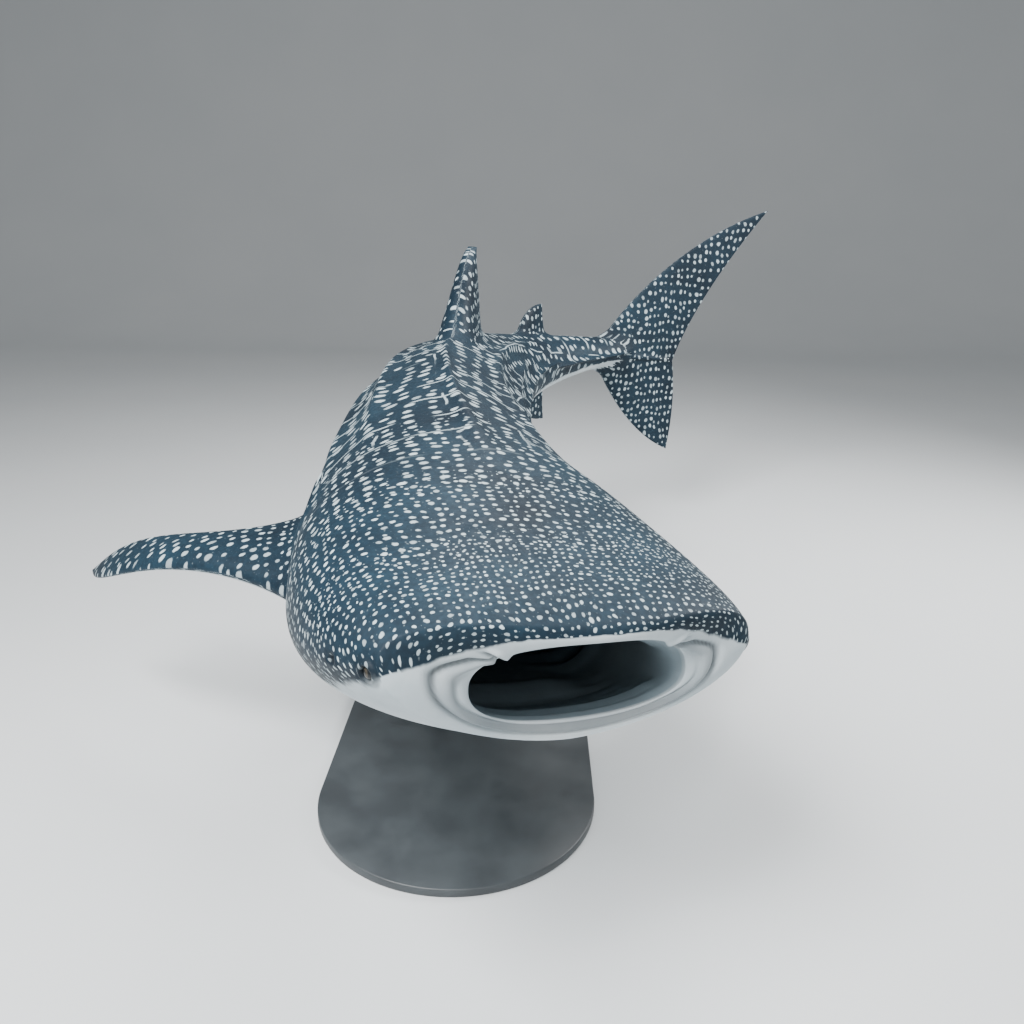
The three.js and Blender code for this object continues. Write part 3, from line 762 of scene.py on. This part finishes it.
def unite(body, fins):
    """Joins the fins to the body as one closed skin, and rounds the creases where they meet.

    Two empty material slots tell the fins' faces from the body's until the creases are round.
    """
    for thing in (body, *fins):
        thing.data.materials.append(None)
        thing.data.materials.append(None)
    for thing in fins:
        thing.data.polygons.foreach_set("material_index", np.ones(len(thing.data.polygons), np.int32))
        join = body.modifiers.new(thing.name, "BOOLEAN")
        join.operation, join.solver, join.object = "UNION", "MANIFOLD", thing
    apply_modifiers(body)
    for thing in fins:
        bpy.data.objects.remove(thing)
    round_creases(body.data)
    body.data.materials.clear()


def linear(text):
    """An sRGB hex colour as linear red, green, blue and 1."""
    value = np.array([int(text[i:i + 2], 16) for i in (1, 3, 5)]) / 255
    value = np.where(value <= 0.04045, value / 12.92, ((value + 0.055) / 1.055) ** 2.4)
    return (*value, 1)


def connect(tree, value, socket):
    """Sets a socket to a value, or links it to a socket or to a node's first output."""
    if isinstance(value, bpy.types.Node):
        value = next(output for output in value.outputs if output.enabled)
    if isinstance(value, bpy.types.NodeSocket):
        tree.links.new(value, socket)
    else:
        socket.default_value = value


def add(tree, kind, inputs=(), **settings):
    """Adds a node. Inputs are given in the order of its sockets, or by their names: each a value,
    a socket, or a node, which stands for its first output."""
    node = tree.nodes.new("ShaderNode" + kind)
    for name, value in settings.items():
        setattr(node, name, value)
    sockets = [socket for socket in node.inputs if socket.enabled]
    if isinstance(inputs, dict):
        pairs = [(next(s for s in sockets if s.name == name), inputs[name]) for name in inputs]
    else:
        pairs = zip(sockets, inputs)
    for socket, value in pairs:
        connect(tree, value, socket)
    return node


def new_material(name):
    """An empty material, its node tree and its shader."""
    material = bpy.data.materials.new(name)
    material.use_nodes = True
    tree = material.node_tree
    return material, tree, tree.nodes["Principled BSDF"]


def scale_of(millimetres):
    """Scale of a pattern whose cells are that wide."""
    return 1000 / millimetres


SMOOTH = {"interpolation_type": "SMOOTHSTEP"}

# Skin colours
DARK_SLATE, LIGHT_SLATE, BLACK_SLATE, SPOT_WHITE = "#0e1b26", "#1d323f", "#091118", "#b3c2c7"
BELLY_GREY, BELLY_WHITE = "#a4b1b7", "#c6ced1"
# The lining's pale grey, its painted shade far into the throat, and the dark of the painted shade in
# the hollows and of the lips' band, which is partly pigment
LINING_PALE, THROAT_SHADE_GREY, SHADE_AND_PIGMENT_DARK = "#8a989f", "#28333a", "#10171d"

# Widths of the skin's patterns, in millimetres: its mottling, its grain, the pale underside's ragged
# edge, its unevenness, and its scales, which are really about 1 mm, drawn larger so that they show
MOTTLE_WIDTH, GRAIN_WIDTH, RAGGED_WIDTH, UNEVEN_WIDTH, SCALE_WIDTH = 416.67, 16.667, 62.5, 33.333, 5

# How rows of spots and bars wander: width of the bends in millimetres, and reach in metres
WANDER = [(454.5, 0.11), (26.32, 0.009)]

# Pale spots: spacing and radius in metres, and where along the body they come and go, in metres
SPOTS = [
    (0.023, 0.005, -1, -0.5, 0.32, 0.5),
    (0.033, 0.0072, 0.26, 0.42, 0.7, 0.95),
    (0.05, 0.0118, 0.62, 0.85, 1.2, 1.6),
    (0.082, 0.019, 1.15, 1.5, 30, 40),
]
FIN_SPOTS = 2
# Squeeze of the distances round the body, which draws the spots out that way, the scatter of the
# spots from even rows, 0 to 1, and the ranges of their sizes, brightness and soft edges
SPOT_SQUEEZE, SPOT_SCATTER = (1.0, 0.78, 1.0), 0.5
SPOT_SIZES, SPOT_BRIGHTNESS, SPOT_EDGE = (0.62, 1.2), (0.5, 1), (-0.05, 0.07)

# Broken bars and lines between the trunk's rows of spots: 0 across the body or 1 along it,
# spacing, start and width in metres, stretch of the breaks, and share that is left out
BARS = [
    (0, 0.246, 0.0615, 0.0042, (0.9, 1.2, 1), 0.47),
    (1, 0.3154, 0.0788, 0.0036, (1.5, 1.5, 1), 0.6),
]
# Width of the noise that breaks them in millimetres, softness of the breaks, brightness, soft edge
# in widths, and where they come in along the body, in metres
BREAK_WIDTH, BREAK_SOFTNESS, BAR_BRIGHTNESS, BAR_EDGE, BAR_START = 500, 0.03, 0.7, 2.2, (0.9, 1.6)


def pale_spots(tree, wandering, along, fin):
    """Round spots, where a Voronoi cell's middle is nearer than a radius that varies from spot to
    spot. Four sizes follow each other along the body, and the fins have the third."""
    wide = add(tree, "VectorMath", (wandering, SPOT_SQUEEZE), operation="MULTIPLY")
    spots = 0.0
    for layer, (spacing, radius, come, full, thin, gone) in enumerate(SPOTS):
        settings = {"Vector": wide, "Scale": 1 / spacing, "Randomness": SPOT_SCATTER}
        cells = add(tree, "TexVoronoi", settings, voronoi_dimensions="2D")
        here = add(tree, "MapRange", (along, come, full, 0, 1), **SMOOTH)
        left = add(tree, "MapRange", (along, thin, gone, 1, 0), **SMOOTH)
        size = add(tree, "Math", (here, left), operation="MULTIPLY")
        size = add(tree, "Mix", (fin, size, 1 if layer == FIN_SPOTS else 0))
        chance = add(tree, "SeparateXYZ", (cells.outputs["Color"],))
        varied = add(tree, "MapRange", (chance.outputs[0], 0, 1, *SPOT_SIZES))
        size = add(tree, "Math", (size, varied), operation="MULTIPLY")
        size = add(tree, "Math", (size, radius / spacing), operation="MULTIPLY")
        inside = add(tree, "Math", (size, cells.outputs["Distance"]), operation="SUBTRACT")
        inside = add(tree, "MapRange", (inside, *SPOT_EDGE, 0, 1), **SMOOTH)
        bright = add(tree, "MapRange", (chance.outputs[1], 0, 1, *SPOT_BRIGHTNESS))
        inside = add(tree, "Math", (inside, bright), operation="MULTIPLY")
        spots = add(tree, "Math", (spots, inside), operation="MAXIMUM")
    return spots


def broken_bars(tree, body, wandering, along, fin):
    """Bars across the trunk and lines along it: distance to the nearest of evenly spaced lines,
    within a width, where a noise is over the share that is left out."""
    lines = 0.0
    for axis, spacing, start, width, stretch, share in BARS:
        across = add(tree, "SeparateXYZ", (wandering,)).outputs[axis]
        across = add(tree, "Math", (across, start), operation="SUBTRACT")
        across = add(tree, "Math", (across, spacing / 2), operation="PINGPONG")
        line = add(tree, "MapRange", (across, width, width * BAR_EDGE, 1, 0), **SMOOTH)
        breaks = add(tree, "VectorMath", (body, stretch), operation="MULTIPLY")
        settings = {"Vector": breaks, "Scale": scale_of(BREAK_WIDTH), "Detail": 1}
        breaks = add(tree, "TexNoise", settings, noise_dimensions="2D")
        share = (share - BREAK_SOFTNESS, share + BREAK_SOFTNESS)
        breaks = add(tree, "MapRange", (breaks, *share, 0, BAR_BRIGHTNESS), **SMOOTH)
        line = add(tree, "Math", (line, breaks), operation="MULTIPLY")
        lines = add(tree, "Math", (lines, line), operation="MAXIMUM")
    trunk = add(tree, "MapRange", (along, *BAR_START, 0, 1), **SMOOTH)
    off_fin = add(tree, "Math", (1, fin), operation="SUBTRACT")
    trunk = add(tree, "Math", (trunk, off_fin), operation="MULTIPLY")
    return add(tree, "Math", (lines, trunk), operation="MULTIPLY")


def shark_skin():
    """Skin with fine placoid scales: satin, dark slate blue above with pale spots and broken bars,
    white below, pale lips, and painted shade that darkens the throat and the hollows."""
    material, tree, shader = new_material("shark skin")
    body = add(tree, "UVMap", uv_map="BodyMap")
    along = add(tree, "SeparateXYZ", (body,)).outputs[0]
    tone = add(tree, "SeparateXYZ", (add(tree, "UVMap", uv_map="ToneMap"),))
    over, depth = tone.outputs[0], tone.outputs[1]
    shade_and_lip_pigment = add(tree, "SeparateXYZ", (add(tree, "UVMap", uv_map="ShadeAndPigmentMap"),))
    # Painted shade of the hollows and of the lips' band, which is partly pigment; and 1 on a fin
    painted_shade_and_lip_pigment, fin = shade_and_lip_pigment.outputs[0], shade_and_lip_pigment.outputs[1]
    position = add(tree, "TexCoord").outputs["Object"]

    # Coordinates that wander a little, so that rows of spots aren't straight
    wandering = body
    for width, reach in WANDER:
        settings = {"Vector": body, "Scale": scale_of(width), "Detail": 2}
        noise = add(tree, "TexNoise", settings, noise_dimensions="2D").outputs["Color"]
        noise = add(tree, "VectorMath", (noise, (0.5, 0.5, 0.5)), operation="SUBTRACT")
        noise = add(tree, "VectorMath", (noise, reach), operation="SCALE")
        wandering = add(tree, "VectorMath", (wandering, noise), operation="ADD")
    spots = pale_spots(tree, wandering, along, fin)
    bars = broken_bars(tree, body, wandering, along, fin)
    marks = add(tree, "Math", (spots, bars), operation="MAXIMUM")

    # Dark ground, mottled and with a finer grain
    settings = {"Vector": position, "Scale": scale_of(MOTTLE_WIDTH), "Detail": 5, "Roughness": 0.6}
    mottle = add(tree, "MapRange", (add(tree, "TexNoise", settings), 0.3, 0.7, 0, 1))
    slates = (mottle, linear(DARK_SLATE), linear(LIGHT_SLATE))
    ground = add(tree, "Mix", slates, data_type="RGBA")
    grain = add(tree, "TexNoise", {"Vector": position, "Scale": scale_of(GRAIN_WIDTH), "Detail": 3})
    grain = add(tree, "MapRange", (grain, 0.35, 0.65, 0, 0.35))
    ground = add(tree, "Mix", (grain, ground, linear(BLACK_SLATE)), data_type="RGBA")
    marked = add(tree, "Mix", (marks, ground, linear(SPOT_WHITE)), data_type="RGBA")

    # Pale underside with a ragged edge
    settings = {"Vector": position, "Scale": scale_of(RAGGED_WIDTH), "Detail": 4}
    ragged = add(tree, "TexNoise", settings)
    ragged = add(tree, "MapRange", (ragged, 0.3, 0.7, -0.3, 0.3))
    level = add(tree, "Math", (over, ragged), operation="ADD")
    pale = add(tree, "MapRange", (level, -0.35, 0.3, 1, 0), **SMOOTH)
    whites = (mottle, linear(BELLY_GREY), linear(BELLY_WHITE))
    belly = add(tree, "Mix", whites, data_type="RGBA")
    colour = add(tree, "Mix", (pale, marked, belly), data_type="RGBA")

    # Mouth lining, pale by the lips and darker into the throat with painted shade, then painted shade
    # in the hollows and on the lips' band, which is partly pigment
    throat_shade = add(tree, "MapRange", (depth, 0, 0.7, 0, 1), **SMOOTH)
    greys = (throat_shade, linear(LINING_PALE), linear(THROAT_SHADE_GREY))
    lining = add(tree, "Mix", greys, data_type="RGBA")
    in_mouth = add(tree, "MapRange", (depth, 0, 0.02, 0, 1))
    colour = add(tree, "Mix", (in_mouth, colour, lining), data_type="RGBA")
    colour = add(tree, "Mix", (painted_shade_and_lip_pigment, colour, linear(SHADE_AND_PIGMENT_DARK)), data_type="RGBA")

    # Fine scales on an uneven skin
    scales = add(tree, "TexVoronoi", {"Vector": position, "Scale": scale_of(SCALE_WIDTH)})
    scales = scales.outputs["Distance"]
    bumps = add(tree, "Bump", {"Height": scales, "Strength": 0.12, "Distance": 0.002})
    settings = {"Vector": position, "Scale": scale_of(UNEVEN_WIDTH), "Detail": 5}
    rough = add(tree, "TexNoise", settings)
    settings = {"Height": rough, "Strength": 0.25, "Distance": 0.004, "Normal": bumps}
    bumps = add(tree, "Bump", settings)
    satin = add(tree, "MapRange", (rough, 0.3, 0.7, 0.46, 0.62))
    for name, value in (("Base Color", colour), ("Roughness", satin), ("Normal", bumps)):
        connect(tree, value, shader.inputs[name])
    shader.inputs["IOR"].default_value = 1.38
    shader.inputs["Specular IOR Level"].default_value = 0.26
    return material


skin_material = shark_skin()
skin = make_body()
fins = [make_fin(name, outline, on_back, 0, i) for i, (name, outline) in enumerate(BACK_FINS.items())]
for i, (label, side) in enumerate((("left", 1), ("right", -1))):
    fins.append(make_fin(f"pectoral_fin_{label}", PECTORAL, paired(side, **PECTORAL_POSE), 1, 6 + i))
    fins.append(make_fin(f"pelvic_fin_{label}", PELVIC, paired(side, **PELVIC_POSE), 1, 8 + i))
unite(skin, fins)
skin.data.materials.append(skin_material)
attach(skin, "root")
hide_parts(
    "head_upper", "lower_jaw", "gill_region", "trunk_front", "trunk_mid", "trunk_rear",
    "tail_stock", *BACK_FINS, "pectoral_fin_left", "pectoral_fin_right", "pelvic_fin_left",
    "pelvic_fin_right",
)


# Colours of the eye, and its ball's rings and sides
PUPIL_BLACK, IRIS_DARK, IRIS_BROWN, EYE_EDGE = "#020303", "#1d1b18", "#443f36", "#12171a"
EYE_RINGS, EYE_SIDES = 33, 48
# Angles from the ball's outward pole, in radians, at which the pupil and the iris end, softly, and
# the width of the iris's fibres in millimetres, larger than real so that they show
PUPIL_EDGE, IRIS_EDGE, FIBRE_WIDTH = (0.4, 0.44), (0.7, 0.8), 3.846


def eye_material():
    """A dark eye under a clear wet cornea: a black pupil, a narrow brown-grey iris and a dark edge.

    They are rings of the angle from the ball's outward pole, which the fibres make uneven.
    """
    material, tree, shader = new_material("shark eye")
    polar = add(tree, "SeparateXYZ", (add(tree, "UVMap", uv_map="EyeMap"),)).outputs[0]
    position = add(tree, "TexCoord").outputs["Object"]
    fibres = add(tree, "TexNoise", {"Vector": position, "Scale": scale_of(FIBRE_WIDTH), "Detail": 3})
    wobble = add(tree, "MapRange", (fibres, 0.3, 0.7, -0.03, 0.03))
    away = add(tree, "Math", (polar, wobble), operation="ADD")
    iris = add(tree, "Mix", (fibres, linear(IRIS_DARK), linear(IRIS_BROWN)), data_type="RGBA")
    pupil = add(tree, "MapRange", (away, *PUPIL_EDGE, 0, 1))
    colour = add(tree, "Mix", (pupil, linear(PUPIL_BLACK), iris), data_type="RGBA")
    edge = add(tree, "MapRange", (away, *IRIS_EDGE, 0, 1))
    colour = add(tree, "Mix", (edge, colour, linear(EYE_EDGE)), data_type="RGBA")
    connect(tree, colour, shader.inputs["Base Color"])
    shader.inputs["Roughness"].default_value = 0.3
    shader.inputs["Specular IOR Level"].default_value = 0.2
    shader.inputs["Coat Weight"].default_value = 0.6
    shader.inputs["Coat IOR"].default_value = 1.38
    shader.inputs["Coat Roughness"].default_value = 0.03
    return material


def make_eye(name, side):
    """A ball of rings about the axis that points out of the socket: for each angle from the axis
    its cosine goes along the axis, and its sine round it."""
    out = eye_centre(side) - middle(EYE[0])
    out /= np.linalg.norm(out)
    centre = eye_centre(side) - out * EYE_INSET
    across = np.cross(out, [0, 0, 1.0])
    across /= np.linalg.norm(across)
    over = np.cross(across, out)
    polar = np.linspace(0, np.pi, EYE_RINGS)[:, None]
    turn = (2 * np.pi * np.arange(EYE_SIDES) / EYE_SIDES)[None, :]
    ring = np.cos(turn)[..., None] * across + np.sin(turn)[..., None] * over
    ring = np.sin(polar)[..., None] * ring
    points = centre + (ring + np.cos(polar)[..., None] * out) * EYE_RADIUS * LENGTH
    return grid_mesh(name, points, {"EyeMap": np.stack([polar + 0 * turn, turn + 0 * polar], -1)})


eye_finish = eye_material()
for label, side in (("left", 1), ("right", -1)):
    eye = make_eye(f"eye_{label}_ball", side)
    eye.data.materials.append(eye_finish)
    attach(eye, "root")
    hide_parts(f"eye_{label}")


# Stand, in metres: the plate, the rods with their flanges, the weld at a rod's foot as (width
# beyond the rod, height over the flange), and the bolts
PLATE_LENGTH, PLATE_WIDTH, PLATE_THICKNESS, PLATE_BEVEL = 3.0, 1.3, 0.04, 0.006
PLATE_INNER, PLATE_SIDES, PLATE_GAP, BEVEL_BOW = 0.3, 128, 0.0004, 0.3
ROD_RADIUS, FLANGE_RADIUS, FLANGE_HEIGHT, FLANGE_BEVEL = 0.045, 0.11, 0.018, 0.003
ROD_WELD = [(0.008, 0), (0.002, 0.003), (0, 0.009)]
ROD_STATIONS = (0.3, 0.5)
BOLTS, BOLT_RADIUS, BOLT_HEIGHT, BOLT_CIRCLE = 6, 0.011, 0.008, 0.085
# A bolt's head narrows from this share of its height to this share of its radius
BOLT_SHOULDER, BOLT_CROWN = 0.85, 0.88
STEEL_GREY, DUST_GREY = "#33373a", "#3f4447"
# Widths of the coat's orange peel and of its dusty patches, in millimetres
PEEL_WIDTH, DUST_WIDTH = 2.5, 200


def painted_steel():
    """Steel with a dark grey powder coat: satin, with a fine orange-peel texture and faint dust."""
    material, tree, shader = new_material("powder-coated steel")
    position = add(tree, "TexCoord").outputs["Object"]
    dust = add(tree, "TexNoise", {"Vector": position, "Scale": scale_of(DUST_WIDTH), "Detail": 6})
    dust = add(tree, "MapRange", (dust, 0.35, 0.7, 0, 1))
    colour = add(tree, "Mix", (dust, linear(STEEL_GREY), linear(DUST_GREY)), data_type="RGBA")
    satin = add(tree, "MapRange", (dust, 0, 1, 0.38, 0.5))
    peel = add(tree, "TexNoise", {"Vector": position, "Scale": scale_of(PEEL_WIDTH), "Detail": 1})
    bumps = add(tree, "Bump", {"Height": peel, "Strength": 0.15, "Distance": 0.0006})
    for name, value in (("Base Color", colour), ("Roughness", satin), ("Normal", bumps)):
        connect(tree, value, shader.inputs[name])
    return material


def turned(name, profile, foot, columns=48):
    """Rows of rings about an upright axis, one for each (radius, height) of the profile."""
    radius, height = np.array(profile, float).T[:, :, None]
    turn = (2 * np.pi * np.arange(columns) / columns)[None, :]
    points = np.stack([radius * np.cos(turn), radius * np.sin(turn), height + 0 * turn], -1) + foot
    return grid_mesh(name, points)


def rod_foot(station):
    """The floor's point straight under the middle line."""
    return middle(station) * [1, 1, 0]


def make_plate():
    """The plate: a long round-ended outline, drawn in row by row from its edge to its middle line,
    with a bevel above and below. A point is its row's radius round either end's middle."""
    feet = [rod_foot(s) for s in ROD_STATIONS]
    along = (feet[1] - feet[0]) / np.linalg.norm(feet[1] - feet[0])
    across = np.cross([0, 0, 1.0], along)
    turn = (2 * np.pi * (np.arange(PLATE_SIDES) + 0.5) / PLATE_SIDES)[None, :]
    straight = PLATE_LENGTH / 2 - PLATE_WIDTH / 2
    half, top, bevel = PLATE_WIDTH / 2, PLATE_THICKNESS, PLATE_BEVEL
    bow = bevel * BEVEL_BOW
    profile = [(0, 0), (PLATE_INNER, 0), (half - bevel, 0), (half - bow, bow), (half, bevel)]
    profile += [(half, top - bevel), (half - bow, top - bow), (half - bevel, top)]
    profile += [(PLATE_INNER, top), (0, top)]
    radius, height = np.array(profile).T[:, :, None]
    x = radius * np.cos(turn) + straight * np.sign(np.cos(turn)) * (radius > 0)
    y = radius * np.sin(turn)
    points = x[..., None] * along + y[..., None] * across
    return grid_mesh("stand_plate", points + height[..., None] * np.array([0, 0, 1.0]))


def make_rod(name, station):
    """A rod with a foot flange and its bolts, cut off where it meets the belly."""
    foot, base = rod_foot(station), PLATE_THICKNESS + PLATE_GAP
    top, level = middle(station)[2], base + FLANGE_HEIGHT
    profile = [(0, base), (FLANGE_RADIUS, base), (FLANGE_RADIUS, level - FLANGE_BEVEL)]
    profile += [(FLANGE_RADIUS - FLANGE_BEVEL, level)]
    profile += [(ROD_RADIUS + width, level + height) for width, height in ROD_WELD]
    rod = turned(name, profile + [(ROD_RADIUS, top), (0, top)], foot)
    cut = rod.modifiers.new("cut", "BOOLEAN")
    cut.operation, cut.solver, cut.object = "DIFFERENCE", "MANIFOLD", skin
    apply_modifiers(rod)
    rod.data.materials.clear()
    parts = [rod]
    for i in range(BOLTS):
        turn = 2 * np.pi * (i + 0.5) / BOLTS
        centre = foot + BOLT_CIRCLE * np.array([np.cos(turn), np.sin(turn), 0])
        head = [
            (0, level), (BOLT_RADIUS, level), (BOLT_RADIUS, level + BOLT_HEIGHT * BOLT_SHOULDER),
            (BOLT_RADIUS * BOLT_CROWN, level + BOLT_HEIGHT), (0, level + BOLT_HEIGHT),
        ]
        parts.append(turned(f"{name}_bolt_{i}", head, centre, 6))
    return parts


steel = painted_steel()
stand = {"stand_base": [make_plate()]}
for label, station in zip(("front", "rear"), ROD_STATIONS):
    stand[f"stand_rod_{label}"] = make_rod(f"stand_rod_{label}_steel", station)
for node, parts in stand.items():
    for part in parts:
        part.data.materials.append(steel)
        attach(part, "root")
        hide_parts(node)

# The photo's view, fitted: focal length in pixels, the frame's width, the camera's place from the
# nose as shares of the length, and its yaw, pitch and roll in radians
FOCAL, FRAME_WIDTH = 870.94, 1024
CAMERA_PLACE = NOSE + LENGTH * np.array([-0.1927, -0.2593, 0.1542])
YAW, PITCH, ROLL = 0.5196, 0.3122, 0.0144

# Floor that sweeps up into a wall, far behind the model
SWEEP_RADIUS, SWEEP_NEAR, SWEEP_FAR, SWEEP_TOP, SWEEP_WIDTH = 9.0, -60.0, 24.0, 40.0, 260.0
SWEEP_STEPS = 40
PAINT_GREY, PAINT_PALE, CLOUD_WIDTH = "#c9cdcf", "#d2d5d6", 2500


def make_sweep():
    """A floor, a quarter of a round and a wall, drawn out sideways; it faces the camera."""
    bend = np.linspace(0, np.pi / 2, SWEEP_STEPS)
    curve = SWEEP_FAR - SWEEP_RADIUS + SWEEP_RADIUS * np.sin(bend)
    ahead = np.concatenate([[SWEEP_NEAR], curve, [SWEEP_FAR]])
    height = np.concatenate([[0], SWEEP_RADIUS * (1 - np.cos(bend)), [SWEEP_TOP]])
    forward = np.array([np.sin(YAW), np.cos(YAW), 0])
    right = np.array([np.cos(YAW), -np.sin(YAW), 0])
    side = np.array([-1, 1]) * SWEEP_WIDTH / 2
    points = ahead[:, None, None] * forward + height[:, None, None] * np.array([0, 0, 1.0])
    points = points + side[:, None] * right
    i = np.arange(len(ahead) - 1)[:, None] * 2
    quads = (i + np.array([0, 1, 3, 2])).tolist()
    mesh = bpy.data.meshes.new("sweep")
    mesh.from_pydata(points.reshape(-1, 3).tolist(), [], quads)
    mesh.polygons.foreach_set("use_smooth", np.ones(len(quads), bool))
    thing = bpy.data.objects.new("sweep", mesh)
    bpy.context.scene.collection.objects.link(thing)
    return thing


def studio_paint():
    """Matt pale grey paint, with the faintest mottling, of the cloud's width in millimetres."""
    material, tree, shader = new_material("studio floor paint")
    position = add(tree, "TexCoord").outputs["Object"]
    cloud = add(tree, "TexNoise", {"Vector": position, "Scale": scale_of(CLOUD_WIDTH), "Detail": 3})
    colour = add(tree, "Mix", (cloud, linear(PAINT_GREY), linear(PAINT_PALE)), data_type="RGBA")
    connect(tree, colour, shader.inputs["Base Color"])
    shader.inputs["Roughness"].default_value = 0.85
    return material


sweep = make_sweep()
sweep.data.materials.append(studio_paint())

# Camera: its view turned by the yaw and pitch, then rolled about itself
camera_data = bpy.data.cameras.new("camera")
camera_data.lens = FOCAL * camera_data.sensor_width / FRAME_WIDTH
camera = bpy.data.objects.new("camera", camera_data)
bpy.context.scene.collection.objects.link(camera)
forward = Vector((np.sin(YAW) * np.cos(PITCH), np.cos(YAW) * np.cos(PITCH), -np.sin(PITCH)))
right = forward.cross(Vector((0, 0, 1))).normalized()
up = right.cross(forward)
right, up = right * np.cos(ROLL) + up * np.sin(ROLL), up * np.cos(ROLL) - right * np.sin(ROLL)
turn = Matrix((right, up, -forward)).transposed().to_4x4()
camera.matrix_world = Matrix.Translation(CAMERA_PLACE) @ turn
bpy.context.scene.camera = camera

# Pale light from all round
ROOM_COLOUR, ROOM_STRENGTH = (0.86, 0.88, 0.9, 1), 0.42
world = bpy.data.worlds.new("world")
world.use_nodes = True
background = world.node_tree.nodes["Background"]
background.inputs["Color"].default_value = ROOM_COLOUR
background.inputs["Strength"].default_value = ROOM_STRENGTH
bpy.context.scene.world = world

# Soft lamps: name, watts, size in metres, place, and the point each faces
LAMPS = [
    ("key", 1350, 3.2, (-4.5, -2.5, 6.5), (0, -0.5, 1.5)),
    ("top", 480, 4.5, (2.5, 1.5, 7.5), (0.5, 0.5, 1.5)),
    ("front", 130, 2.5, (-2.6, -7.0, 3.0), (-0.6, -1.8, 1.35)),
    ("rim", 500, 3.0, (6.5, -1.5, 4.5), (0.3, 0, 1.5)),
]
for name, watts, size, position, aim in LAMPS:
    lamp = bpy.data.lights.new(name, "AREA")
    lamp.energy, lamp.size = watts, size
    holder = bpy.data.objects.new(name, lamp)
    toward = (Vector(aim) - Vector(position)).to_track_quat("-Z", "Y")
    holder.matrix_world = Matrix.Translation(position) @ toward.to_matrix().to_4x4()
    bpy.context.scene.collection.objects.link(holder)
